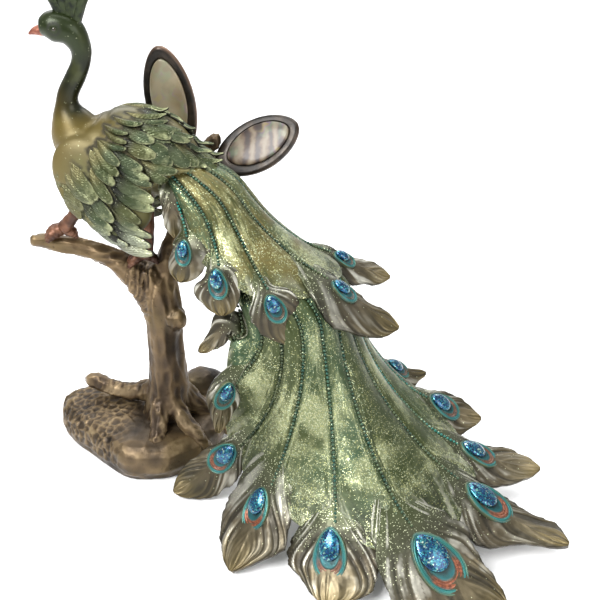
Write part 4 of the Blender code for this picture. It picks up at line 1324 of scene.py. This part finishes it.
def feather_shape(path, normals, width, tone, seed, soft=0.0, bare=0.0, rows=26, columns=13):
    """A tongue-shaped feather in metres along path (n, 3), given in metres."""
    path = resample(np.array(path), rows)
    normals = resample(np.array(normals), rows)
    normals /= np.linalg.norm(normals, axis=1, keepdims=True)
    along = np.gradient(path, axis=0)
    along /= np.linalg.norm(along, axis=1, keepdims=True)
    across = np.cross(normals, along)
    across /= np.linalg.norm(across, axis=1, keepdims=True)
    s = np.linspace(0, 1, rows)
    outline = np.interp(s, *FEATHER_OUTLINE)
    t = np.linspace(-1, 1, columns)
    half = width * outline
    crown = 1.9 * (1 - 0.6 * soft) * UNIT * (1 - np.abs(t)[None, :] ** 2.2) * outline[:, None]
    length = np.linalg.norm(path[-1] - path[0])
    lean = s[:, None] * length / UNIT - 0.8 * np.abs(t)[None, :] * width / UNIT
    barb = 0.5 + 0.5 * np.sin(lean * 2 * math.pi / 1.7 + seed)
    shaft = np.exp(-((t / 0.12) ** 2))[None, :] * np.ones((rows, 1))
    relief = (0.10 * (barb - 0.5) * (1 - shaft) + 0.28 * shaft * (1 - s[:, None] ** 4)) * UNIT
    grid = (
        path[:, None, :]
        + across[:, None, :] * (half[:, None] * t[None, :])[..., None]
        + normals[:, None, :] * (crown + relief)[..., None]
    )
    rim = np.minimum(1 - np.abs(t)[None, :] * np.ones((rows, 1)), (1 - s[:, None]) * 2.6)
    values = {
        "rim": rim,
        "run": s[:, None] * np.ones((1, columns)),
        "tone": np.full((rows, columns), tone),
        "barb": barb,
        "soft": np.full((rows, columns), soft),
        "bare": np.full((rows, columns), bare),
    }
    normal = normals[:, None, :] * np.ones((1, columns, 1))
    return thick_grid(grid, normal, FEATHER_WALL, values, 3)


def placed_feathers(tree, photo):
    """The photograph's feathers on the near side, each from its line of sight."""
    shapes = []
    for k, (x0, y0, x1, y1, wide) in enumerate(FEATHERS):
        path, normals = [], []
        run = math.hypot(x1 - x0, y1 - y0)
        soft = float(smooth((118 - 0.30 * (y1 - 150) - x1) / 24)) * (y1 > 125)
        x0, y0 = x0 - (x1 - x0) * 5 / run, y0 - (y1 - y0) * 5 / run
        x1, y1 = x1 + (x1 - x0) * 2.5 / run, y1 + (y1 - y0) * 2.5 / run
        for m in range(6):
            f = m / 5
            bend = math.sin(f * math.pi) * 0.09 * run
            x = x0 + (x1 - x0) * f - bend * (y1 - y0) / run
            y = y0 + (y1 - y0) * f + bend * (x1 - x0) / run
            spots, faces = [], []
            for dx, dy in ((0, 0), (-2.5, 0), (2.5, 0), (0, -2.5), (0, 2.5)):
                sight = Vector(photo.ray(x + dx, y + dy))
                hit, normal, _, _ = tree.ray_cast(Vector(photo.origin), sight)
                if hit is not None and hit.y < -0.002:
                    spots.append(np.array(hit))
                    faces.append(np.array(normal))
            if len(spots) >= 3:
                place = spots[0] if len(spots) == 5 else np.mean(spots, axis=0)
                normal = unit(np.mean(faces, axis=0))
            elif path:
                place = photo.at_depth(x, y, path[-1][1])
                normal = normals[-1]
            else:
                place = photo.at_depth(x, y, -0.027)
                normal = np.array((-0.1, -1, 0.1))
            lift = (-1.1 + (3.3 - 1.6 * soft) * f) * UNIT
            path.append(place + unit(normal) * lift)
            normals.append(normal)
        average = np.mean(normals, axis=0)
        normals = [unit(0.5 * n + 0.5 * average) for n in normals]
        depth = np.dot(path[2] - photo.origin, photo.ahead)
        width = wide * depth * photo.scale * 1.28
        tone = float(hash01(np.array([k, 5, 9]), 2))
        shapes.append(feather_shape(path, normals, width, tone, k, soft, open_root(k)))
    return shapes


def open_root(index):
    """1 where no other feather of the photograph lies over this one's root."""
    x, y = FEATHERS[index][:2]
    gaps = []
    for k, (x0, y0, x1, y1, _) in enumerate(FEATHERS):
        if k != index:
            along = np.linspace(0.35, 1.0, 6)
            gaps.append(np.min(np.hypot(x0 + (x1 - x0) * along - x, y0 + (y1 - y0) * along - y)))
    return float(smooth((min(gaps) - 4) / 4))


def mirrored(shapes):
    turned = []
    for points, faces, values in shapes:
        turned.append((points * np.array((1, -1, 1)), [tuple(reversed(f)) for f in faces], values))
    return turned


def back_feathers():
    shapes = []
    for row, t in enumerate((2.1, 1.75, 1.4, 1.05, 0.7, 0.35)):
        radius = spine_at(t)[3]
        count = 8 if row % 2 else 7
        for k in range(count):
            around = math.radians(-72 + 144 * (k + 0.5) / count)
            path, normals = [], []
            for m in range(5):
                f = m / 4
                centre = spine_at(max(t + 0.50 - 1.10 * f, 0.02))
                normal = unit(np.array((0.10, math.sin(around), math.cos(around))))
                lift = -1.2 + 2.6 * f
                path.append((centre[:3] + normal * (centre[3] + lift)) * UNIT)
                normals.append(normal)
            tone = float(hash01(np.array([k, row, 4]), 8))
            shapes.append(feather_shape(path, normals, radius * 0.25 * UNIT, tone, k + row))
    return shapes


def shade_under(shapes, points):
    """How much painted shade the body gets at each point: 1 where it lies under or between feathers."""
    tree = KDTree(sum(len(shape[0]) // 7 + 1 for shape in shapes))
    for points_of, _, _ in shapes:
        for place in points_of[::7]:
            tree.insert((place[0], -abs(place[1]), place[2]), 0)
    tree.balance()
    shade = np.zeros(len(points))
    for k, (x, y, z) in enumerate(points):
        if z > 0.16 and x > -0.055:
            shade[k] = tree.find((x, -abs(y), z))[2]
    near = np.where(shade > 0, shade, 1.0)
    return smooth((0.0020 - near) / 0.0012)


def bird_legs():
    legs = (
        (((-30, -8, 196), (-39, -7, 181), (-49, -3.5, 168)), (-50, -3, 167), 186, 3.8),
        (((0, 2, 194), (2, -3, 174), (-1, -4, 148)), (-2, -4, 150), 184, 3.2),
    )

    def rings(s, angle):
        return 0.16 * np.sin(s * 34) + 0.08 * np.sin(angle * 4 + s * 5)

    shapes = []
    for bones, foot, heading, thick in legs:
        shapes.append(limb(list(zip(bones, (6, 3.8, 4.4))), 30, 18, rings))
        for k, spread in enumerate((-26, 0, 26, 180)):
            turn = math.radians(heading + spread)
            reach = 8 if spread == 180 else 11
            x, y, z = foot
            dx, dy = math.cos(turn), math.sin(turn)
            heel = (x - dx * 1.5, y - dy * 1.5, z + 0.5 + 0.3 * k)
            knuckle = (x + dx * reach * 0.6, y + dy * reach * 0.6, z - 2)
            claw = (x + dx * reach, y + dy * reach, z - 6.5)
            shapes.append(limb(((heel, thick), (knuckle, thick * 0.95), (claw, 1.0)), 24, 14, rings))
    return shapes


# The tree, the rock and the leaves

def bark(seed, depth):
    def relief(s, angle):
        place = np.stack([np.cos(angle) * 1.6, np.sin(angle) * 1.6, s * 2.2 + seed * 7.3], -1)
        folds = 1 - np.abs(value_noise(place * 1.3, seed))
        finer = 1 - np.abs(value_noise(place * np.array((3.2, 3.2, 2.0)), seed + 3))
        return depth * (folds**2 * 1.1 + finer**2 * 0.5 - 0.9)
    return relief


def tree_shapes():
    shapes = []
    for k, (name, route) in enumerate(LIMBS.items()):
        if name == "boulder":
            continue
        depth = 1.7 if name in ("trunk", "perch") else 1.0
        if "stem" in name:
            depth = 0.4
        shapes.append(limb(route, 70, 40, bark(k + 1, depth)))
    return shapes


def rock_shapes():
    count = 96
    levels = np.array((0, 0.12, 0.25, 0.38, 0.5, 0.61, 0.72, 0.79, 0.86, 0.93))
    ring = [ROCK_PLAN[k % len(ROCK_PLAN)] for k in range(-2, len(ROCK_PLAN) + 3)]
    plan = np.array([catmull(ring, 2 + k / count * len(ROCK_PLAN)) for k in range(count)])
    ridge = np.interp(levels, (0, 0.25, 0.5, 0.72, 0.86, 1), (0.92, 1.0, 0.97, 0.84, 0.5, 0))
    height = np.interp(levels, (0, 0.25, 0.5, 0.72, 0.86, 1), (0.0, 0.30, 0.66, 0.86, 0.93, 0.96))
    grid = np.zeros((len(levels), count, 3))
    grid[..., 0] = plan[None, :, 0] * ROCK_LENGTH * ridge[:, None] + ROCK_CENTRE[0] * UNIT
    grid[..., 1] = plan[None, :, 1] * ROCK_WIDTH * ridge[:, None] + ROCK_CENTRE[1] * UNIT
    grid[..., 2] = ROCK_HEIGHT * height[:, None]
    ends = np.array([(*ROCK_CENTRE, 0), (*ROCK_CENTRE, 0)]) * UNIT
    ends[1, 2] = ROCK_HEIGHT * 0.96
    points, faces = closed_tube(grid, ends)
    return [(points, faces, {}), limb(LIMBS["boulder"], 40, 30)]


def almond_ring(length, width, count):
    angle = 2 * math.pi * np.arange(count) / count
    bulge = 0.80 + 0.20 * np.abs(np.sin(angle))
    return np.stack([-0.5 * length * np.cos(angle), -0.5 * width * np.sin(angle) * bulge], -1)


def stack_shape(place, rings, heights):
    """Flat rings at their heights, closed at both ends and set at place."""
    layers = zip(rings, heights)
    grid = np.array([np.concatenate([r, np.full((len(r), 1), h)], 1) for r, h in layers])
    ends = np.array([(0, 0, heights[0]), (0, 0, heights[-1])])
    points, faces = closed_tube(grid, ends)
    turn = np.array(place)
    return points @ turn[:3, :3].T + turn[:3, 3], faces


def leaf_shapes():
    frames, inlays = [], {}
    for k, (which, base, tip, normal, width) in enumerate(LEAVES):
        middle = (np.array(base, float) + np.array(tip, float)) / 2 * UNIT
        place = axes_frame(middle, np.array(tip, float) - np.array(base, float), normal)
        length = math.dist(base, tip) * UNIT
        width = width * UNIT
        half = LEAF_THICKNESS / 2
        count = 96
        outer = almond_ring(length, width, count)
        inner = almond_ring(
            length * INLAY_LENGTH + 2 * GLUE_GAP, width * INLAY_WIDTH + 2 * GLUE_GAP, count
        )
        inner = inner + np.array((length * INLAY_SHIFT, 0))
        rings = [outer * 0.80, outer * 0.94, outer * 0.985, outer, outer * 0.985, outer * 0.95]
        heights = [-half, -half * 0.75, -half * 0.2, half * 0.35, half * 0.75, half * 0.98]
        for f in (0.25, 0.5, 0.75, 0.92):
            rings.append(outer * 0.95 * (1 - f) + inner * f)
            heights.append(half * (1.0 + 0.02 * math.sin(f * math.pi)))
        rings += [inner, inner, inner * 0.9]
        heights += [half * 0.90, half - INLAY_RECESS, half - INLAY_RECESS]
        points, faces = stack_shape(place, rings, heights)
        share = [0.0, 0.05, 0.15, 0.25, 0.35, 0.45, 0.6, 0.75, 0.85, 0.95, 1.0, 1.0, 1.0]
        across = np.repeat(np.array(share), count)
        values = {
            "across": np.concatenate([across, [0, 1]]),
            "leaf": np.full(len(across) + 2, float(k)),
        }
        frames.append((points, faces, values))
        shell = almond_ring(length * INLAY_LENGTH, width * INLAY_WIDTH, count)
        shell_rings, shell_heights = [], []
        crown = INLAY_RECESS + INLAY_CROWN
        for f in np.linspace(0, 1, 14):
            share = math.cos(f * math.pi / 2 * 0.97)
            shell_rings.append(shell * share)
            bulge = 0.55 + 0.45 * math.sin(f * math.pi / 2)
            shell_heights.append(GLUE_GAP + (crown - GLUE_GAP) * bulge)
        shell_rings.insert(0, shell)
        shell_heights.insert(0, GLUE_GAP)
        seat = place @ Matrix.Translation((length * INLAY_SHIFT, 0, half - INLAY_RECESS))
        points, faces = stack_shape(seat, shell_rings, shell_heights)
        inlays[which] = (points, faces, {})
    return frames, inlays


def frame_paint():
    """Leaf frames: near black lacquer with copper rubbed on the outer edge."""
    made, n, shader = paint("leaf_frame_paint")
    across = n.value("across")
    base = n.mix(n.span(n.noise(120, 4), 0.4, 0.65), (0.010, 0.008, 0.006), (0.030, 0.022, 0.015))
    worn = n.times(n.span(across, 0.50, 0.15), n.span(n.noise(55, 3), 0.36, 0.58))
    worn = n.times(worn, n.span(n.value("leaf"), 1.0, 0.0, 0.35, 1.0))
    base = n.mix(worn, base, (0.200, 0.115, 0.070))
    n.surface(shader, base, 0.5, (200, 0.28, 0.44), (600, 3, 0.0001, 0.5))
    return made


# Building the pieces

upper = Tier(UPPER_PLUMES, UPPER_ARCHES, 0.42)
lower = Tier(LOWER_PLUMES, LOWER_ARCHES, 0.80)
photo = Photo()

upper_sheet = sheet_shape(upper, UPPER_WALL, 22, 190, TRAIN_FOLD)
lower_sheet = sheet_shape(lower, LOWER_WALL, 20, 210, TRAIN_FOLD)
upper_train_paint = train_paint(
    "upper_train_paint", (0.020, 0.034, 0.009), (0.110, 0.090, 0.024), 0.60
)
lower_train_paint = train_paint(
    "lower_train_paint", (0.006, 0.014, 0.004), (0.034, 0.046, 0.010), 0.60
)
add_piece("upper_train", upper_sheet, upper_train_paint)
add_piece("lower_train", lower_sheet, lower_train_paint)

plumes = plume_paint()
eyes = eye_paint()
gems = gem_paint()
beads = bead_paint()
coppers = {
    "upper": (0.15, 0.25, 0.10, 0.15, 0.1, 0.1, 0.1, 0.1),
    "lower": (0.0, 0.0, 0.75, 1.0, 0.55, 1.0, 0.9, 0.55, 0.5, 0.3, 0.3, 0.2),
}
for name, tier, seed in (("upper", upper, 11), ("lower", lower, 31)):
    shapes = [plume_shape(tier, k, seed + k) for k in range(len(tier.plumes))]
    if name == "upper":
        shapes.append(side_fold_shape())
    add_piece(f"{name}_plumes", merge(shapes), plumes)
    shapes = [
        eye_plate_shape(tier, k, coppers[name][k]) for k, p in enumerate(tier.plumes) if p.gem
    ]
    add_piece(f"{name}_eye_plates", merge(shapes), eyes)
    for k, plume in enumerate(tier.plumes):
        if plume.gem:
            node = f"{name}_eye_gem_{k + 1}"
            add_piece(f"{name}_foil_gem_{k + 1}", gem_shape(tier, k), gems, node)

upper_teal = (1.0, 0.7, 0.35, 0.1, 0.3, 0.3, 0.4, 0.5)
lower_teal = (0.0, 0.1, 0.0, 0.25, 0.45, 0.25, 0.15, 1.0, 1.0, 0.5, 0.3, 0.2)
add_piece("upper_beads", merge(bead_shapes(upper, 1.0, 2.0, upper_teal, TRAIN_FOLD)), beads)
add_piece("lower_beads", merge(bead_shapes(lower, 1.1, 2.3, lower_teal, TRAIN_FOLD)), beads)

body_points, body_faces, body_normals = melted(bird_shapes(), SKIN_VOXEL, 8)
body_x, _, body_z = (body_points / UNIT).T
crease_line = np.exp(-(((body_z - 203.5 + 0.10 * (body_x + 45)) / 1.2) ** 2))
near_front = smooth((-18 - body_x) / 10.0)
crease = crease_line * near_front
body_points = body_points - body_normals * (crease * 1.3 * UNIT)[:, None]

carrier = merge([(body_points, body_faces, {}), (upper_sheet[0], upper_sheet[1], {})])
tree_of_bird = BVHTree.FromPolygons([Vector(p) for p in carrier[0]], carrier[1])
near = placed_feathers(tree_of_bird, photo)
backs = back_feathers()
body_x, _, body_z = (body_points / UNIT).T
under = shade_under(near + backs, body_points) * smooth((body_x + 40) / 12)
from_eye = np.hypot(body_x - BIRD_EYE[0], body_z - BIRD_EYE[2])
eye_ring = 0.85 * np.exp(-(((from_eye - 3.2) / 0.8) ** 2)) * (body_z > 280)
# Painted shade in the crease and under the feathers, together with the dark ring round the eye
dark = np.maximum(np.maximum(crease * 0.8, under), eye_ring)
body_shape = (body_points, body_faces, {"crease": dark})
add_piece("bird_body", body_shape, body_paint())
feathers = feather_paint()
add_piece("near_feathers", merge(near), feathers)
add_piece("far_feathers", merge(mirrored(near)), feathers)
add_piece("back_feathers", merge(backs), feathers)

crest = []
for k, (top, height) in enumerate(CREST):
    root = (-31 + 0.22 * (top + 28), 0.35 * (k % 2), CREST_FOOT)
    middle = (0.45 * root[0] + 0.55 * top, 0, 0.5 * (CREST_FOOT + height))
    route = ((root, 3.0), (middle, 2.9), ((top, 0, height - 3), 3.2), ((top, 0, height), 1.0))
    crest.append(limb(route, 40, 20, lambda s, a: 0.30 * np.sin(a * 6 + s * 5)))
crest_paint = simple_paint(
    "crest_paint", (0.005, 0.008, 0.004), (0.026, 0.036, 0.012), 240, 0.5, 0.34, 0.0002
)
add_piece("crest", merge(crest), crest_paint)

eyes_of_bird = []
for side in (-1, 1):
    turn = axes_frame((0, 0, 0), (1, 0.25 * side, 0), (0, side, 0.15))
    spot = (BIRD_EYE[0], side * BIRD_EYE[1], BIRD_EYE[2])
    eyes_of_bird.append(ellipsoid(spot, (2.0, 1.5, 1.4), turn, 16, 24))
pupil_paint = simple_paint(
    "pupil_paint", (0.006, 0.006, 0.005), (0.030, 0.026, 0.012), 400, 0.2, 0.15, 0.00003
)
add_piece("bird_eyes", merge(eyes_of_bird), pupil_paint)

beak = limb((((-45, 0, 286.5), 4.6), ((-51.5, 0, 285.7), 2.7), ((-55.5, 0, 284), 0.7)), 24, 20, flat=0.9)
beak_paint = simple_paint(
    "beak_paint", (0.150, 0.042, 0.024), (0.330, 0.130, 0.080), 260, 0.35, 0.36, 0.0001
)
add_piece("beak", beak, beak_paint)

leg_paint = simple_paint(
    "leg_paint", (0.040, 0.015, 0.007), (0.150, 0.064, 0.032), 90, 0.45, 0.42, 0.0002
)
add_piece("legs", merge(bird_legs()), leg_paint)

points, faces, normals = melted(tree_shapes(), SKIN_VOXEL, 3)
level = smooth((points[:, 2] - 0.108) / 0.02) * smooth((0.004 - points[:, 0]) / 0.02)
level = np.maximum(level, smooth((0.036 - points[:, 2]) / 0.02))[:, None]
stretch = np.array((150, 150, 38)) * (1 - level) + np.array((38, 150, 150)) * level
rub = np.clip(0.5 + 0.9 * fbm(points * stretch, 2, 3), 0, 1)
groove = 1 - np.abs(value_noise(points * stretch * 2.1, 6))
points = points + normals * ((rub - 0.5) * 1.3 + (groove**3 - 0.4) * 0.9)[:, None] * UNIT
points[:, 2] = np.maximum(points[:, 2], 0.0)
bark_paint = wood_paint(
    "bark_paint", (0.008, 0.005, 0.003), (0.046, 0.029, 0.015), (0.330, 0.235, 0.130)
)
shape = (points, faces, {"ridge": np.clip(0.55 * rub + 0.45 * groove, 0, 1)})
add_piece("tree", shape, bark_paint)

points, faces, normals = melted(rock_shapes(), SKIN_VOXEL, 3)
wrinkle = cell_edges(points * 190 + 0.35 * fbm(points * 160, 3, 8)[:, None], 2)
left_front = smooth((-0.012 - points[:, 0] + 0.25 * (points[:, 1] + 0.01)) / 0.02)
left_front = left_front * smooth((points[:, 2] - 0.004) / 0.006)
rims = np.exp(-((wrinkle / 0.16) ** 2)) * left_front
lumps = fbm(points * 90, 4, 12)
grade = smooth(points[:, 2] / 0.006)
folds = (1 - np.abs(value_noise(points * np.array((60, 60, 120)), 21))) ** 3
height = (rims * 1.0 + lumps * 1.2 + folds * (1 - left_front) * 1.0 - 0.9) * grade
points = points + normals * (height * UNIT)[:, None]
points[:, 2] = np.maximum(points[:, 2], 0.0)
rock_paint = wood_paint(
    "rock_paint", (0.012, 0.008, 0.005), (0.066, 0.046, 0.026), (0.380, 0.290, 0.150)
)
rub = 0.25 + 0.5 * rims + 0.3 * folds * (1 - left_front) + 0.3 * lumps
shape = (points, faces, {"ridge": np.clip(rub, 0, 1)})
add_piece("rock", shape, rock_paint)

leaf_frames, inlays = leaf_shapes()
add_piece("leaf_frames", merge(leaf_frames), frame_paint())
pearl = shell_paint("pearl_shell", (
    (0.25, (0.145, 0.112, 0.060)), (0.50, (0.190, 0.152, 0.086)), (0.75, (0.235, 0.200, 0.128)),
), 12)
abalone = shell_paint("striped_shell", (
    (0.25, (0.016, 0.008, 0.005)), (0.42, (0.040, 0.022, 0.013)), (0.60, (0.082, 0.055, 0.032)),
    (0.85, (0.130, 0.102, 0.066)),
), 42)
add_piece("left_shell", inlays["left"], pearl, "shell_inlay_left")
add_piece("right_shell", inlays["right"], abalone, "shell_inlay_right")

# Carried nodes keep a finish too
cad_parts["peacock_casting"].data.materials.clear()
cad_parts["peacock_casting"].data.materials.append(bark_paint)

# Floor, light and camera

floor_paint, floor_nodes, floor_shader = paint("floor_paint")
floor_colour = floor_nodes.mix(floor_nodes.noise(3, 2), (0.90, 0.90, 0.90), (0.93, 0.93, 0.93))
floor_nodes.link(floor_colour, floor_shader.inputs["Base Color"])
floor_shader.inputs["Roughness"].default_value = 0.85
floor_mesh = bpy.data.meshes.new("floor")
corners = [(x * FLOOR_HALF, y * FLOOR_HALF, 0) for x, y in ((-1, -1), (1, -1), (1, 1), (-1, 1))]
floor_mesh.from_pydata(corners, [], [(0, 1, 2, 3)])
floor_mesh.materials.append(floor_paint)
floor = bpy.data.objects.new("floor", floor_mesh)
floor.location.z = -FLOOR_DROP
bpy.context.scene.collection.objects.link(floor)

world = bpy.data.worlds.new("studio")
world.use_nodes = True
world.node_tree.nodes["Background"].inputs["Color"].default_value = (0.95, 0.97, 1.0, 1)
world.node_tree.nodes["Background"].inputs["Strength"].default_value = 0.55
bpy.context.scene.world = world


def softbox(name, place, aim, size, power):
    light = bpy.data.lights.new(name, "AREA")
    light.shape = "RECTANGLE"
    light.size, light.size_y = size
    light.energy = power
    made = bpy.data.objects.new(name, light)
    made.location = place
    made.rotation_euler = (Vector(aim) - Vector(place)).to_track_quat("-Z", "Y").to_euler()
    bpy.context.scene.collection.objects.link(made)


softbox("key", (-0.5, -0.7, 1.1), (0.05, -0.05, 0.12), (0.7, 0.7), 27)
softbox("fill", (0.9, -0.8, 0.7), (0.08, -0.05, 0.10), (0.8, 0.8), 8)
softbox("floor", (0.1, 2.6, 1.6), (0.1, 2.6, 0.0), (4.0, 2.0), 90)
softbox("top", (0.1, 0.3, 1.3), (0.08, -0.05, 0.10), (1.0, 0.8), 13)

camera = bpy.data.cameras.new("camera")
camera.lens = CAMERA_LENS
camera.sensor_width = SENSOR
camera.sensor_fit = "HORIZONTAL"
camera.clip_start = 0.01
view = bpy.data.objects.new("camera", camera)
view.location = CAMERA_PLACE
view.rotation_euler = (math.radians(CAMERA_TILT), 0, 0)
bpy.context.scene.collection.objects.link(view)
bpy.context.scene.camera = view

bpy.context.scene.view_settings.view_transform = "Standard"
